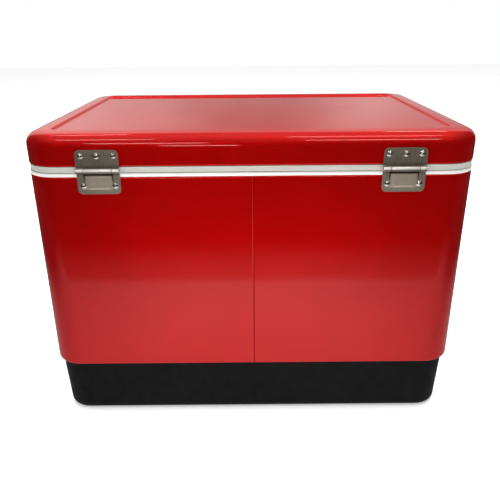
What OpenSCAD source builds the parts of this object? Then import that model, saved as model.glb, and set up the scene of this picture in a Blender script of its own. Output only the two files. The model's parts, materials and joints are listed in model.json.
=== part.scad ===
// Insulated steel-jacketed drinks chest with a hinged lid, standing on a moulded base.
// X runs side to side, the hinges are at +Y, the latch is at -Y and Z is up from the floor.

/* [Case] */
// Width of the case, side to side
case_w = 590; // [540:5:640]
// Depth of the case, front to back
case_d = 421; // [380:1:460]
// Height of the closed chest
case_h = 423.5; // [400:0.5:460]
// Plan radius of the upright corners
corner_r = 44; // [42:1:56]
// Insulated wall from the case's face to the opening
wall_t = 44; // [42:1:48]
// Thickness of the pressed steel
steel_t = 1; // [0.8:0.1:1.2]
// Thickness of the moulded liners
plastic_t = 2.5; // [2:0.1:3]
// Height of the tub's floor above the ground
floor_z = 44; // [42:1:50]
// Narrowing of each tub wall from rim to floor
tub_draft = 8; // [4:1:10]

/* [Lid] */
// Height of the lid's painted skirt
lid_skirt_h = 42; // [40:0.5:50]
// Radius of the lid's rolled top edge
lid_edge_r = 16.5; // [14:0.5:18]
// Flat border between the lid's side and its sunk panel
panel_inset = 31; // [28:1:33]
// Depth of the sunk panel
panel_drop = 3; // [2:0.5:4]
// Width of the slope down to the sunk panel
panel_step = 5; // [4:0.5:6]

/* [White band] */
// Height of the white band between lid and jacket
band_h = 13; // [12:0.5:15]
// Set-back of the lid liner's edge from the case's face
band_recess = 3; // [2:0.5:4]
// Height of the body liner's collar
collar_h = 5; // [4.5:0.5:6]

/* [Base] */
// Height of the black base
base_h = 86.5; // [86:0.5:95]
// Set-back of the base's top from the case's face
base_inset = 6; // [5:0.5:8]
// Further set-back of the base at the floor
base_draft = 4; // [3:0.5:5]
// Radius of the base's bottom edge
base_edge_r = 10; // [8:1:12]

/* [Hinges] */
// Distance of each hinge from the middle
hinge_x = 195; // [170:1:210]
// Width of a hinge
hinge_w = 55; // [54:1:60]
// Height of the hinge pins above the ground
hinge_z = 377.3; // [377:0.1:378]
// Radius of the hinge and latch pins
pin_r = 2; // [1.8:0.1:2.2]

/* [Carry handles] */
// Height of the handle pivots above the ground
handle_z = 300; // [270:5:310]
// Distance of each pivot from the middle of the side
pivot_y = 80; // [78:1:95]
// Length of a bail's arms below its pivots
bail_drop = 62; // [58:1:75]
// Distance of the pivots from the case's face
pivot_out = 17; // [17:0.5:22]

/* [Drain] */
// Height of the drain's centre above the ground
drain_z = 64; // [63:0.5:65]
// Radius of the drain's water way
drain_bore_r = 7; // [5:0.5:7.5]
// Travel of the drain cap in one turn
cap_pitch = 4; // [3:0.5:5]

/* [Hidden] */
$fn = 64;

gap = 0.2;                             // room between parts that would otherwise touch
red = [0.68, 0.03, 0.03];
white = [0.9, 0.9, 0.87];
black = [0.06, 0.06, 0.06];
foam_yellow = [0.93, 0.86, 0.6];
steel = [0.62, 0.6, 0.55];

// Heights of the case's levels
lid_z = case_h - lid_skirt_h;          // bottom edge of the lid's skirt
jacket_top = lid_z - band_h;
collar_top = jacket_top + collar_h;
lid_seat_z = collar_top + 0.5;         // underside of the lid's liner
hem_r = 2.5;                           // curl of the sheet steel's edges
hem_lip = 8;                           // flat of the curled edge

// Tub opening
open_w = case_w - 2 * wall_t;
open_d = case_d - 2 * wall_t;
open_r = 34;
tub_fillet = 6;
tub_floor_t = 4;
collar_plate_inset = 22;               // where the collar's rounded edge gives way to flat plate

// Lid liner's plug, which drops into the tub
plug_clear = 2;
plug_h = 13;
plug_w = 15;
dish_z = lid_seat_z + 4;               // underside of the liner's raised middle

// Base
base_t = 3;
base_rim = 14;

// Hinge and latch sheet metal
leaf_t = 1.6;
leaf_back = 0.3;                       // room behind a leaf
knuckle_r = pin_r + 0.05 + leaf_t;
hinge_y = case_d / 2 + leaf_back + knuckle_r;
hinge_barrel = 36;                     // width of the lid leaf's middle knuckle
knuckle_gap = 0.4;
leaf_top_z = case_h - 20;
leaf_bottom_z = hinge_z - 30.8;
rivet_dx = 20.5;
lid_rivet_z = hinge_z + 18.5;
body_rivet_z = hinge_z - 20.1;
emboss_w = 29;
emboss_h = 20;
emboss_t = 1.4;
emboss_z = hinge_z - 15.3;

// Latch
latch_w = 48;
latch_z = lid_z + 3;
latch_barrel = 28;
latch_rivet_x = 16;
latch_rivet_z = latch_z + 14;
hasp_w = 30;
hasp_len = 46;
keeper_w = 44;
keeper_z = [jacket_top - 38, jacket_top - 3];
ridge_r = 1.5;
ridge_gap = 0.35;                      // room between the ridge and the hasp's lip
ridge_z = latch_z - hasp_len + 4.5;
keeper_screw_z = keeper_z[1] - 8;

// Bottle opener on the front
opener_x = 165;
opener_z = 306;
opener_w = 42;
opener_h = 66;
opener_screw_dz = 24;
opener_reach = 24;

// Carry handles
bail_r = 4;
bracket_w = 34;
bracket_h = 46;
bracket_t = 2;
lug_r = 8;
lug_len = 15;
side_screw_dz = 16.5;
grip_r = 13;
grip_len = 104;

// Drain
drain_pad_r = 21;
drain_pad_x = case_w / 2 - 5.5;
tube_r = 9.5;
flange_r = 16.5;
flange_t = 3;
gasket_t = 1.5;
cap_turns = 3;                         // turns that free the cap
stub_len = cap_turns * cap_pitch;
cap_r = 14;
tub_wall_x = open_w / 2 - tub_draft * (collar_top - drain_z) / (collar_top - floor_z);

// Fastener sizes
shank_r = 2;
shank_len = 12;
rivet_head = [4.1, 2.2];               // radius and height of a domed head
screw_head = [4.3, 2.6];

// ---------- shared shapes ----------

// Points along an arc, from angle a0 to a1.
function arc(c, r, a0, a1, n = 8) =
    [for (i = [0:n]) let (a = a0 + (a1 - a0) * i / n) [c[0] + r * cos(a), c[1] + r * sin(a)]];

// Rectangle with round corners, centred.
module rounded_rect(w, d, r) {
    square([w - 2 * r, d], center = true);
    square([w, d - 2 * r], center = true);
    for (x = [-1, 1], y = [-1, 1])
        translate([x * (w / 2 - r), y * (d / 2 - r)]) circle(r);
}

// Carries a profile round a rounded rectangle. The profile's x is the distance inward
// from the outline and its y is the height.
module sweep_round(w, d, r) {
    for (turn = [0:3]) {
        side = turn % 2 == 0 ? [w, d] : [d, w];
        rotate([0, 0, turn * 90]) {
            translate([side[0] / 2 - r, side[1] / 2 - r, 0])
                rotate_extrude(angle = 90) translate([r, 0]) mirror([1, 0]) children();
            translate([side[0] / 2, 0, 0]) rotate([90, 0, 0])
                linear_extrude(side[1] - 2 * r, center = true) mirror([1, 0]) children();
        }
    }
}

// Flat plate with round corners, set in from the case's outline.
module case_plate(inset, z, t) {
    translate([0, 0, z]) linear_extrude(t)
        rounded_rect(case_w - 2 * inset, case_d - 2 * inset, corner_r - inset);
}

// Quarter of a ring of wall t, in the upper-left or lower-left quadrant.
module quarter_band(r, t, upper) {
    intersection() {
        difference() {
            circle(r);
            circle(r - t);
        }
        translate([-r, upper ? 0 : -r]) square(r);
    }
}

// Quarter of a disc in the upper-left quadrant.
module quarter_disc(r) {
    intersection() {
        circle(r);
        translate([-r, 0]) square(r);
    }
}

// Places its children on a face of the case, with their +Z pointing outward.
module on_rear(x, z) {
    translate([x, case_d / 2, z]) rotate([-90, 0, 0]) children();
}

module on_front(x, z) {
    translate([x, -case_d / 2, z]) rotate([90, 0, 0]) children();
}

module on_side(s, y, z) {
    translate([s * case_w / 2, y, z]) rotate([0, s * 90, 0]) children();
}

// Fastener with a domed head on a surface at height seat, its shank reaching below the face.
module domed(head, seat) {
    dome_r = (pow(head[0], 2) + pow(head[1], 2)) / (2 * head[1]);
    translate([0, 0, -shank_len]) cylinder(r = shank_r, h = shank_len + seat);
    translate([0, 0, seat]) intersection() {
        translate([0, 0, head[1] - dome_r]) sphere(dome_r);
        cylinder(r = head[0], h = head[1] + 1);
    }
}

module rivet(seat = leaf_t + leaf_back) {
    domed(rivet_head, seat);
}

// Pan-head screw with a cross recess.
module screw(seat) {
    difference() {
        domed(screw_head, seat);
        translate([0, 0, seat + screw_head[1]]) for (a = [0, 90])
            rotate([0, 0, a]) cube([4.6, 1, 2.6], center = true);
    }
}

// Hole for a fastener through a sheet and into what is behind it.
module fastener_hole() {
    translate([0, 0, -shank_len - gap]) cylinder(r = shank_r + 0.1, h = shank_len + 10);
}

// ---------- fastener positions ----------

module at_lid_rivets(hx) {
    for (dx = [-rivet_dx, rivet_dx]) on_rear(hx + dx, lid_rivet_z) children();
}

module at_body_rivets(hx) {
    for (dx = [-rivet_dx, rivet_dx]) on_rear(hx + dx, body_rivet_z) children();
}

module at_latch_rivets() {
    for (x = [-latch_rivet_x, latch_rivet_x]) on_front(x, latch_rivet_z) children();
}

module at_keeper_screws() {
    for (x = [-latch_rivet_x, latch_rivet_x]) on_front(x, keeper_screw_z) children();
}

module at_opener_screws() {
    for (dz = [-opener_screw_dz, opener_screw_dz]) on_front(opener_x, opener_z + dz) children();
}

module at_handle_screws(s) {
    for (y = [-pivot_y, pivot_y], dz = [-side_screw_dz, side_screw_dz])
        on_side(s, y, handle_z + dz) children();
}

module lid_holes() {
    for (hx = [-hinge_x, hinge_x]) {
        at_lid_rivets(hx) fastener_hole();
        on_rear(hx, lid_rivet_z) fastener_hole();
    }
    at_latch_rivets() fastener_hole();
}

module body_holes() {
    for (hx = [-hinge_x, hinge_x]) at_body_rivets(hx) fastener_hole();
    at_keeper_screws() fastener_hole();
    at_opener_screws() fastener_hole();
    for (s = [-1, 1]) at_handle_screws(s) fastener_hole();
}

// ---------- lid ----------

// Painted steel lid: skirt, rolled edge, flat border and sunk panel, with a curled lower edge.
module lid_shell() {
    color(red) difference() {
        union() {
            sweep_round(case_w, case_d, corner_r) {
                translate([0, lid_z + hem_r])
                    square([steel_t, lid_skirt_h - hem_r - lid_edge_r]);
                translate([lid_edge_r, case_h - lid_edge_r])
                    quarter_band(lid_edge_r, steel_t, true);
                translate([lid_edge_r, case_h - steel_t])
                    square([panel_inset - lid_edge_r, steel_t]);
                polygon([
                    [panel_inset, case_h], [panel_inset + panel_step, case_h - panel_drop],
                    [panel_inset + panel_step, case_h - panel_drop - steel_t],
                    [panel_inset, case_h - steel_t]
                ]);
                translate([hem_r, lid_z + hem_r]) quarter_band(hem_r, steel_t, false);
                translate([hem_r, lid_z]) square([hem_lip, steel_t]);
            }
            case_plate(panel_inset + panel_step, case_h - panel_drop - steel_t, steel_t);
        }
        lid_holes();
    }
}

// Foam filling of the lid.
module lid_foam() {
    side = steel_t + gap;
    top = case_h - panel_drop - steel_t - gap;
    color(foam_yellow) difference() {
        union() {
            case_plate(side, lid_z + hem_r, case_h - lid_edge_r - lid_z - hem_r);
            case_plate(lid_edge_r / 2, case_h - lid_edge_r, top - case_h + lid_edge_r);
            case_plate(hem_r + hem_lip + 1, lid_seat_z + plastic_t + gap, 10);
        }
        translate([0, 0, dish_z - 2]) linear_extrude(2 + plastic_t + gap)
            rounded_rect(open_w - 2 * plug_clear, open_d - 2 * plug_clear, open_r - plug_clear);
        lid_holes();
    }
}

// White inner lid: visible edge, seat, hollow plug ring and raised middle.
module lid_liner() {
    r = open_r - plug_clear;
    w = open_w - 2 * plug_clear;
    d = open_d - 2 * plug_clear;
    t = plastic_t;
    edge_w = case_w - 2 * band_recess;
    edge_d = case_d - 2 * band_recess;
    edge_r = corner_r - band_recess;
    color(white) {
        sweep_round(edge_w, edge_d, edge_r) {
            translate([0, lid_seat_z + 1.5]) square([t, lid_z - gap - lid_seat_z - 1.5]);
            polygon(concat(arc([1.5, lid_seat_z + 1.5], 1.5, 180, 270, 4),
                [[t, lid_seat_z], [t, lid_seat_z + 1.5]]));
        }
        translate([0, 0, lid_seat_z]) linear_extrude(t) difference() {
            rounded_rect(edge_w - 2 * t, edge_d - 2 * t, edge_r - t);
            rounded_rect(w - 2 * t, d - 2 * t, r - t);
        }
        sweep_round(w, d, r) polygon([
            [0, lid_seat_z], [1.5, lid_seat_z - plug_h + 2], [3, lid_seat_z - plug_h],
            [plug_w - 3, lid_seat_z - plug_h], [plug_w, lid_seat_z - plug_h + 2],
            [plug_w + 2, dish_z], [plug_w + 2, dish_z + t], [plug_w, dish_z + t],
            [plug_w - t, lid_seat_z - plug_h + t], [1.5 + t, lid_seat_z - plug_h + t],
            [t, lid_seat_z + t], [0, lid_seat_z + t]
        ]);
        translate([0, 0, dish_z]) linear_extrude(t)
            rounded_rect(w - 2 * plug_w - 4, d - 2 * plug_w - 4, r - plug_w - 2);
    }
}

// ---------- body ----------

// Painted steel wrap with curled edges. Its ends lap at the back, where the joint shows as a line.
module body_jacket() {
    seam_x = -2;
    seam_w = 0.5;
    lap_w = 14;
    color(red) difference() {
        union() {
            sweep_round(case_w, case_d, corner_r) {
                translate([0, base_h + hem_r])
                    square([steel_t, jacket_top - base_h - 2 * hem_r]);
                translate([hem_r, jacket_top - hem_r]) quarter_band(hem_r, steel_t, true);
                translate([hem_r, jacket_top - steel_t]) square([hem_lip, steel_t]);
                translate([hem_r, base_h + hem_r]) quarter_band(hem_r, steel_t, false);
                translate([hem_r, base_h]) square([hem_lip + base_inset, steel_t]);
            }
            translate([seam_x, case_d / 2 - steel_t - 0.4, (base_h + jacket_top) / 2])
                cube([lap_w, 0.8, jacket_top - base_h - 20], center = true);
        }
        translate([seam_x, case_d / 2, (base_h + jacket_top) / 2])
            cube([seam_w, 2 * steel_t - 0.4, jacket_top - base_h + 2], center = true);
        body_holes();
    }
}

// Solid shape of the tub's outside, from floor to above the rim.
module tub_core(grow) {
    r = open_r + grow;
    low = floor_z - tub_floor_t - grow + plastic_t;
    high = collar_top + 5;
    core = r - 4;
    fillet = tub_fillet + grow;
    sweep_round(open_w + 2 * grow, open_d + 2 * grow, r) polygon(concat(
        [[core, low], [core, high], [0, high], [0, collar_top]],
        arc([tub_draft + fillet, low + fillet], fillet, 180, 270, 6)
    ));
    translate([0, 0, low]) linear_extrude(high - low)
        rounded_rect(open_w + 2 * grow - 2 * core, open_d + 2 * grow - 2 * core, r - core);
}

// Poured foam between the jacket, the base and the tub.
module body_foam() {
    base_side = base_inset + base_draft + base_t + 1;
    color(foam_yellow) difference() {
        union() {
            case_plate(steel_t + 1, base_h + steel_t + gap,
                jacket_top - base_h - 2 * steel_t - 2 * gap);
            case_plate(base_inset + base_rim + 0.5, base_h - base_t - 5, 20);
            case_plate(base_side, base_edge_r, base_h - base_t - gap - base_edge_r);
            case_plate(base_inset + base_draft + base_edge_r, base_t + gap, base_edge_r);
        }
        tub_core(plastic_t + gap);
        body_holes();
        drain_way(tube_r + gap);
    }
}

// White tub with the collar that caps the jacket.
module body_liner() {
    t = plastic_t;
    edge_r = 4;
    f = floor_z;
    color(white) difference() {
        union() {
            sweep_round(case_w, case_d, corner_r) {
                translate([0, jacket_top + gap]) square([edge_r, collar_h - edge_r - gap]);
                translate([edge_r, collar_top - edge_r]) quarter_disc(edge_r);
                translate([edge_r, jacket_top + gap])
                    square([collar_plate_inset - edge_r, collar_h - gap]);
            }
            translate([0, 0, jacket_top + gap]) linear_extrude(collar_h - gap) difference() {
                rounded_rect(case_w - 2 * collar_plate_inset, case_d - 2 * collar_plate_inset,
                    corner_r - collar_plate_inset);
                rounded_rect(open_w, open_d, open_r);
            }
            sweep_round(open_w, open_d, open_r) polygon(concat(
                [[-t, jacket_top + gap], [0, jacket_top + gap]],
                arc([tub_draft + tub_fillet, f + tub_fillet], tub_fillet, 180, 270, 6),
                [[tub_draft + tub_fillet, f - tub_floor_t]],
                [for (p = arc([tub_draft + tub_fillet, f + tub_fillet], tub_fillet + t, 262, 180, 6)) p]
            ));
            translate([0, 0, f - tub_floor_t]) linear_extrude(tub_floor_t)
                rounded_rect(open_w - 2 * (tub_draft + tub_fillet),
                    open_d - 2 * (tub_draft + tub_fillet), open_r - tub_draft - tub_fillet);
        }
        // shallow channel that leads the melt water to the drain
        translate([0, 0, f]) rotate([0, 90, 0])
            translate([-28, 0, 60]) cylinder(r = 30, h = open_w / 2 - 60 - tub_draft - tub_fillet);
        drain_way(tube_r + gap / 2);
    }
}

// Black moulded base with a flat rim under the jacket and a flat bottom.
module base_tray() {
    bi = base_inset;
    bd = bi + base_draft;
    re = base_edge_r;
    t = base_t;
    color(black) difference() {
        union() {
            sweep_round(case_w, case_d, corner_r) polygon(concat(
                [[bi + base_rim, base_h - gap], [bi, base_h - gap]],
                arc([bd + re, re], re, 180, 270, 8),
                [[bd + re, t]],
                arc([bd + re, re], re - t, 270, 180, 6),
                [[bi + t, base_h - gap - t], [bi + base_rim, base_h - gap - t]]
            ));
            case_plate(bd + re, 0, t);
            translate([drain_pad_x - 8, 0, drain_z]) rotate([0, 90, 0])
                cylinder(r = drain_pad_r, h = 8);
        }
        // moulded channel in the underside
        translate([0, 0, -1]) linear_extrude(2.2) difference() {
            rounded_rect(case_w - 110, case_d - 110, 12);
            rounded_rect(case_w - 126, case_d - 126, 8);
        }
        drain_way(tube_r + gap / 2);
    }
}

// ---------- hinges ----------

// Stamped leaf shape in the plane of the case's back; it reaches from z0 to z1.
module leaf_plate(w, z0, z1, r_low, r_high) {
    h = z1 - z0;
    rotate([90, 0, 0]) translate([0, 0, -leaf_t]) linear_extrude(leaf_t) union() {
        translate([-w / 2 + max(r_low, r_high), z0]) square([w - 2 * max(r_low, r_high), h]);
        translate([-w / 2, z0 + r_low]) square([w, h - r_low - r_high]);
        for (x = [-1, 1]) {
            if (r_low > 0) translate([x * (w / 2 - r_low), z0 + r_low]) circle(r_low);
            if (r_high > 0) translate([x * (w / 2 - r_high), z1 - r_high]) circle(r_high);
        }
    }
}

// Rolled knuckle along X.
module knuckle(w) {
    rotate([0, 90, 0]) difference() {
        cylinder(r = knuckle_r, h = w, center = true);
        cylinder(r = pin_r + 0.05, h = w + 1, center = true);
    }
}

// Leaf on the lid, with the wide middle knuckle.
module hinge_lid_leaf(hx) {
    arm_z = hinge_z + knuckle_r + knuckle_gap;
    color(steel) difference() {
        union() {
            translate([hx, case_d / 2 + leaf_back, 0]) {
                leaf_plate(hinge_w, arm_z, leaf_top_z, 0.01, 6);
                leaf_plate(hinge_barrel, hinge_z, arm_z + 1, 0, 0);
            }
            translate([hx, hinge_y, hinge_z]) knuckle(hinge_barrel);
        }
        translate([hx, hinge_y, hinge_z]) rotate([0, 90, 0])
            cylinder(r = pin_r + 0.05, h = hinge_w + 2, center = true);
        at_lid_rivets(hx) fastener_hole();
        on_rear(hx, lid_rivet_z) fastener_hole();
    }
}

// Leaf on the body, with an embossed middle and a knuckle at each end.
module hinge_body_leaf(hx) {
    end_w = (hinge_w - hinge_barrel) / 2 - knuckle_gap;
    notch_z = hinge_z - knuckle_r - 0.9;
    color(steel) difference() {
        union() {
            translate([hx, case_d / 2 + leaf_back, 0]) {
                leaf_plate(hinge_w, leaf_bottom_z, notch_z, 6, 0.01);
                for (x = [-1, 1]) translate([x * (hinge_w - end_w) / 2, 0, 0])
                    leaf_plate(end_w, notch_z - 1, hinge_z, 0, 0);
                translate([-emboss_w / 2, leaf_t, emboss_z - emboss_h / 2])
                    cube([emboss_w, emboss_t, emboss_h]);
            }
            for (x = [-1, 1]) translate([hx + x * (hinge_w - end_w) / 2, hinge_y, hinge_z])
                knuckle(end_w);
        }
        translate([hx, hinge_y, hinge_z]) rotate([0, 90, 0])
            cylinder(r = pin_r + 0.05, h = hinge_w + 2, center = true);
        translate([hx - emboss_w / 2 + 2, case_d / 2, emboss_z - emboss_h / 2 + 2])
            cube([emboss_w - 4, leaf_back + emboss_t, emboss_h - 4]);
        at_body_rivets(hx) fastener_hole();
    }
}

// Pin with a small head at each end.
module headed_pin(w) {
    rotate([0, 90, 0]) {
        cylinder(r = pin_r, h = w + 2 * gap, center = true);
        for (s = [-1, 1]) translate([0, 0, s * (w / 2 + gap + 0.6)])
            cylinder(r = pin_r + 0.9, h = 1.2, center = true);
    }
}

module hinge_pin(hx) {
    color(steel) translate([hx, hinge_y, hinge_z]) headed_pin(hinge_w);
}

module hinge_lid_rivets(hx) {
    color(steel) at_lid_rivets(hx) rivet();
}

module hinge_body_rivets(hx) {
    color(steel) at_body_rivets(hx) rivet();
}

// Middle fastener of the lid leaf: a tall dome on a broad washer face.
module hinge_lid_screw(hx) {
    seat = leaf_t + leaf_back;
    color(steel) on_rear(hx, lid_rivet_z) {
        domed([3.7, 3.2], seat + 0.9);
        translate([0, 0, seat]) cylinder(r = 5.2, h = 0.9);
    }
}

// ---------- latch ----------

module latch_lid_plate() {
    end_w = (latch_w - latch_barrel) / 2 - knuckle_gap;
    color(steel) difference() {
        union() {
            translate([0, -case_d / 2 - leaf_back - leaf_t, 0]) {
                leaf_plate(latch_w, latch_z + knuckle_r + 0.8, leaf_top_z, 0.01, 6);
                for (x = [-1, 1]) translate([x * (latch_w - end_w) / 2, 0, 0])
                    leaf_plate(end_w, latch_z, latch_z + knuckle_r + 1.8, 0, 0);
            }
            for (x = [-1, 1]) translate([x * (latch_w - end_w) / 2, -hinge_y, latch_z])
                knuckle(end_w);
        }
        translate([0, -hinge_y, latch_z]) rotate([0, 90, 0])
            cylinder(r = pin_r + 0.05, h = latch_w + 2, center = true);
        at_latch_rivets() fastener_hole();
    }
}

module latch_lid_rivets() {
    color(steel) at_latch_rivets() rivet();
}

module latch_pin() {
    color(steel) translate([0, -hinge_y, latch_z]) headed_pin(latch_w);
}

// Swinging hasp: knuckle, strap, lip that snaps past the keeper's ridge, and finger tab.
module latch_hasp() {
    y = -hinge_y - knuckle_r;
    lip = 2 * (knuckle_r - leaf_t) - ridge_r - ridge_gap;
    color(steel) difference() {
        union() {
            translate([0, -hinge_y, latch_z]) knuckle(latch_barrel);
            translate([-latch_barrel / 2, y, latch_z - 6]) cube([latch_barrel, leaf_t, 6]);
            translate([-hasp_w / 2, y, latch_z - hasp_len]) cube([hasp_w, leaf_t, hasp_len - 5.5]);
            translate([-hasp_w / 2 + 3, y, latch_z - hasp_len])
                cube([hasp_w - 6, leaf_t + lip, leaf_t]);
            translate([0, y, latch_z - hasp_len]) rotate([90, 0, 90])
                linear_extrude(hasp_w, center = true)
                    polygon(concat(arc([-10, 0], 10, 0, -62, 8),
                        arc([-10, 0], 10 + leaf_t, -62, 0, 8)));
        }
        translate([0, -hinge_y, latch_z]) rotate([0, 90, 0])
            cylinder(r = pin_r + 0.05, h = latch_w + 2, center = true);
    }
}

// Plate on the body with the ridge that holds the hasp's lip.
module latch_keeper() {
    color(steel) difference() {
        union() {
            translate([0, -case_d / 2 - leaf_back - leaf_t, 0])
                leaf_plate(keeper_w, keeper_z[0], keeper_z[1], 6, 6);
            translate([0, -case_d / 2 - leaf_back - leaf_t, ridge_z]) rotate([0, 90, 0])
                cylinder(r = ridge_r, h = 20, center = true);
        }
        at_keeper_screws() fastener_hole();
    }
}

module latch_keeper_screws() {
    color(steel) at_keeper_screws() screw(leaf_t + leaf_back);
}

// ---------- bottle opener ----------

// Back plate, arched hood, front lip and the tooth that catches the cap's edge.
module bottle_opener() {
    plate_t = 2.5;
    hood_r = 19;
    hood_t = 3;
    color(steel) difference() {
        on_front(opener_x, opener_z) {
            translate([0, 0, leaf_back]) linear_extrude(plate_t)
                rounded_rect(opener_w, opener_h, 9);
            intersection() {
                union() {
                    translate([0, 0, leaf_back]) difference() {
                        cylinder(r = hood_r, h = opener_reach);
                        translate([0, 0, -1]) cylinder(r = hood_r - hood_t, h = opener_reach + 2);
                    }
                    translate([0, 0, opener_reach + leaf_back - hood_t]) difference() {
                        cylinder(r = hood_r, h = hood_t);
                        translate([0, -4, -1]) cylinder(r = hood_r - 6, h = hood_t + 2);
                    }
                }
                translate([-hood_r, 0, 0]) cube([2 * hood_r, hood_r, opener_reach + 1]);
            }
            translate([-6, -5, plate_t - 0.5]) cube([12, 3, 9.5]);
        }
        at_opener_screws() fastener_hole();
    }
}

module bottle_opener_screws() {
    color(steel) at_opener_screws() screw(2.5 + leaf_back);
}

// ---------- carry handles ----------

// Bracket for one end of a bail: a screwed plate and a bored lug. s is the side and e the end.
module handle_bracket(s, e) {
    color(steel) difference() {
        on_side(s, e * pivot_y, handle_z) {
            translate([0, 0, leaf_back]) linear_extrude(bracket_t)
                rounded_rect(bracket_h, bracket_w, 6);
            translate([0, 0, pivot_out]) rotate([90, 0, 0])
                cylinder(r = lug_r, h = lug_len, center = true);
            translate([-lug_r, -lug_len / 2, leaf_back]) cube([2 * lug_r, lug_len, pivot_out]);
        }
        translate([s * (case_w / 2 + pivot_out), e * pivot_y, handle_z]) rotate([90, 0, 0])
            cylinder(r = bail_r + 0.08, h = lug_len + 2, center = true);
        at_handle_screws(s) fastener_hole();
    }
}

module handle_screws(s) {
    color(steel) at_handle_screws(s) screw(bracket_t + leaf_back);
}

// Bent steel rod: two ends in the lugs, two arms and the bar that the grip is on.
module handle_bail(s) {
    bend = 10;
    arm_y = pivot_y - lug_len / 2 - 2 - bail_r;
    end_len = pivot_y + lug_len / 2 + 1.5 - arm_y;
    color(steel) translate([s * (case_w / 2 + pivot_out), 0, handle_z]) {
        for (m = [0, 1]) mirror([0, m, 0]) {
            translate([0, arm_y, 0]) rotate([-90, 0, 0]) cylinder(r = bail_r, h = end_len);
            translate([0, arm_y, 0]) sphere(bail_r);
            translate([0, arm_y, bend - bail_drop]) cylinder(r = bail_r, h = bail_drop - bend);
            translate([0, arm_y - bend, bend - bail_drop]) rotate([0, 90, 0])
                rotate_extrude(angle = 90) translate([bend, 0]) circle(bail_r);
        }
        translate([0, 0, -bail_drop]) rotate([90, 0, 0])
            cylinder(r = bail_r, h = 2 * (arm_y - bend), center = true);
    }
}

// Moulded grip turned about the bar, with four shallow finger hollows.
module handle_grip(s) {
    half = grip_len / 2;
    n = 48;
    color(black) translate([s * (case_w / 2 + pivot_out), 0, handle_z - bail_drop])
        rotate([90, 0, 0]) rotate_extrude() polygon(concat(
            [[bail_r + 0.05, -half], [grip_r - 2, -half]],
            [for (i = [0:n]) let (u = i / n)
                [grip_r - 1.1 + 1.1 * cos(u * 360 * 4), -half + 2 + u * (grip_len - 4)]],
            [[grip_r - 2, half], [bail_r + 0.05, half]]
        ));
}

// ---------- drain ----------

// Cylinder along the drain's axis, from inside the tub to outside the base.
module drain_way(r) {
    translate([tub_wall_x - 20, 0, drain_z]) rotate([0, 90, 0])
        cylinder(r = r, h = case_w / 2 - tub_wall_x + 20);
}

// Tube with an outer flange and the stub that the cap screws on to.
module drain_spout() {
    x0 = tub_wall_x - 9;
    x1 = drain_pad_x + gasket_t;
    color(black) translate([0, 0, drain_z]) rotate([0, 90, 0]) difference() {
        union() {
            translate([0, 0, x0]) cylinder(r = tube_r, h = x1 - x0 + flange_t + stub_len);
            translate([0, 0, x1]) cylinder(r = flange_r, h = flange_t);
        }
        translate([0, 0, x0 - 1]) cylinder(r = drain_bore_r, h = 120);
    }
}

module drain_gasket() {
    color(black) translate([drain_pad_x, 0, drain_z]) rotate([0, 90, 0]) difference() {
        cylinder(r = flange_r - 1, h = gasket_t);
        translate([0, 0, -1]) cylinder(r = tube_r + gap / 2, h = gasket_t + 2);
    }
}

// Nut inside the tub that clamps the tube to the wall.
module drain_nut() {
    color(white) translate([tub_wall_x - 7.2, 0, drain_z]) rotate([0, 90, 0]) difference() {
        cylinder(r = 13.5, h = 5, $fn = 6);
        translate([0, 0, -1]) cylinder(r = tube_r + 0.05, h = 8);
    }
}

module drain_cap_seal() {
    color(black) translate([drain_pad_x + gasket_t + flange_t + stub_len + gap, 0, drain_z])
        rotate([0, 90, 0]) cylinder(r = tube_r - 0.5, h = 1.5);
}

// Screw cap with a ribbed rim.
module drain_cap() {
    x0 = drain_pad_x + gasket_t + flange_t + gap;
    inner = stub_len + 1.5 + 2 * gap;
    color(black) translate([x0, 0, drain_z]) rotate([0, 90, 0]) difference() {
        cylinder(r = cap_r, h = inner + 2.5);
        translate([0, 0, -1]) cylinder(r = tube_r + 0.3, h = inner + 1);
        for (a = [0:20:359]) rotate([0, 0, a]) translate([cap_r + 0.6, 0, -1])
            cylinder(r = 1.3, h = inner + 1, $fn = 24);
    }
}

// ---------- nodes ----------

lid_shell();
lid_foam();
lid_liner();
body_jacket();
body_foam();
body_liner();
base_tray();
hinge_lid_leaf(-hinge_x);  // hinge_left_lid_leaf
hinge_body_leaf(-hinge_x);  // hinge_left_body_leaf
hinge_pin(-hinge_x);  // hinge_left_pin
hinge_lid_rivets(-hinge_x);  // hinge_left_lid_rivets
hinge_lid_screw(-hinge_x);  // hinge_left_lid_screw
hinge_body_rivets(-hinge_x);  // hinge_left_body_rivets
hinge_lid_leaf(hinge_x);  // hinge_right_lid_leaf
hinge_body_leaf(hinge_x);  // hinge_right_body_leaf
hinge_pin(hinge_x);  // hinge_right_pin
hinge_lid_rivets(hinge_x);  // hinge_right_lid_rivets
hinge_lid_screw(hinge_x);  // hinge_right_lid_screw
hinge_body_rivets(hinge_x);  // hinge_right_body_rivets
latch_lid_plate();
latch_lid_rivets();
latch_pin();
latch_hasp();
latch_keeper();
latch_keeper_screws();
bottle_opener();
bottle_opener_screws();
handle_bracket(-1, -1);  // handle_left_front_bracket
handle_bracket(-1, 1);  // handle_left_rear_bracket
handle_screws(-1);  // handle_left_screws
handle_bail(-1);  // handle_left_bail
handle_grip(-1);  // handle_left_grip
handle_bracket(1, -1);  // handle_right_front_bracket
handle_bracket(1, 1);  // handle_right_rear_bracket
handle_screws(1);  // handle_right_screws
handle_bail(1);  // handle_right_bail
handle_grip(1);  // handle_right_grip
drain_spout();
drain_gasket();
drain_nut();
drain_cap_seal();
drain_cap();
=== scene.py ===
"""Looks for the steel-jacketed drinks chest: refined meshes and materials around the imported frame.

Everything is in metres, in the frame's own axes: the hinges are at +Y, the latch at -Y, Z is up.
"""

import json
import math

import bmesh
import bpy
from mathutils import Matrix, Vector, noise


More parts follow.
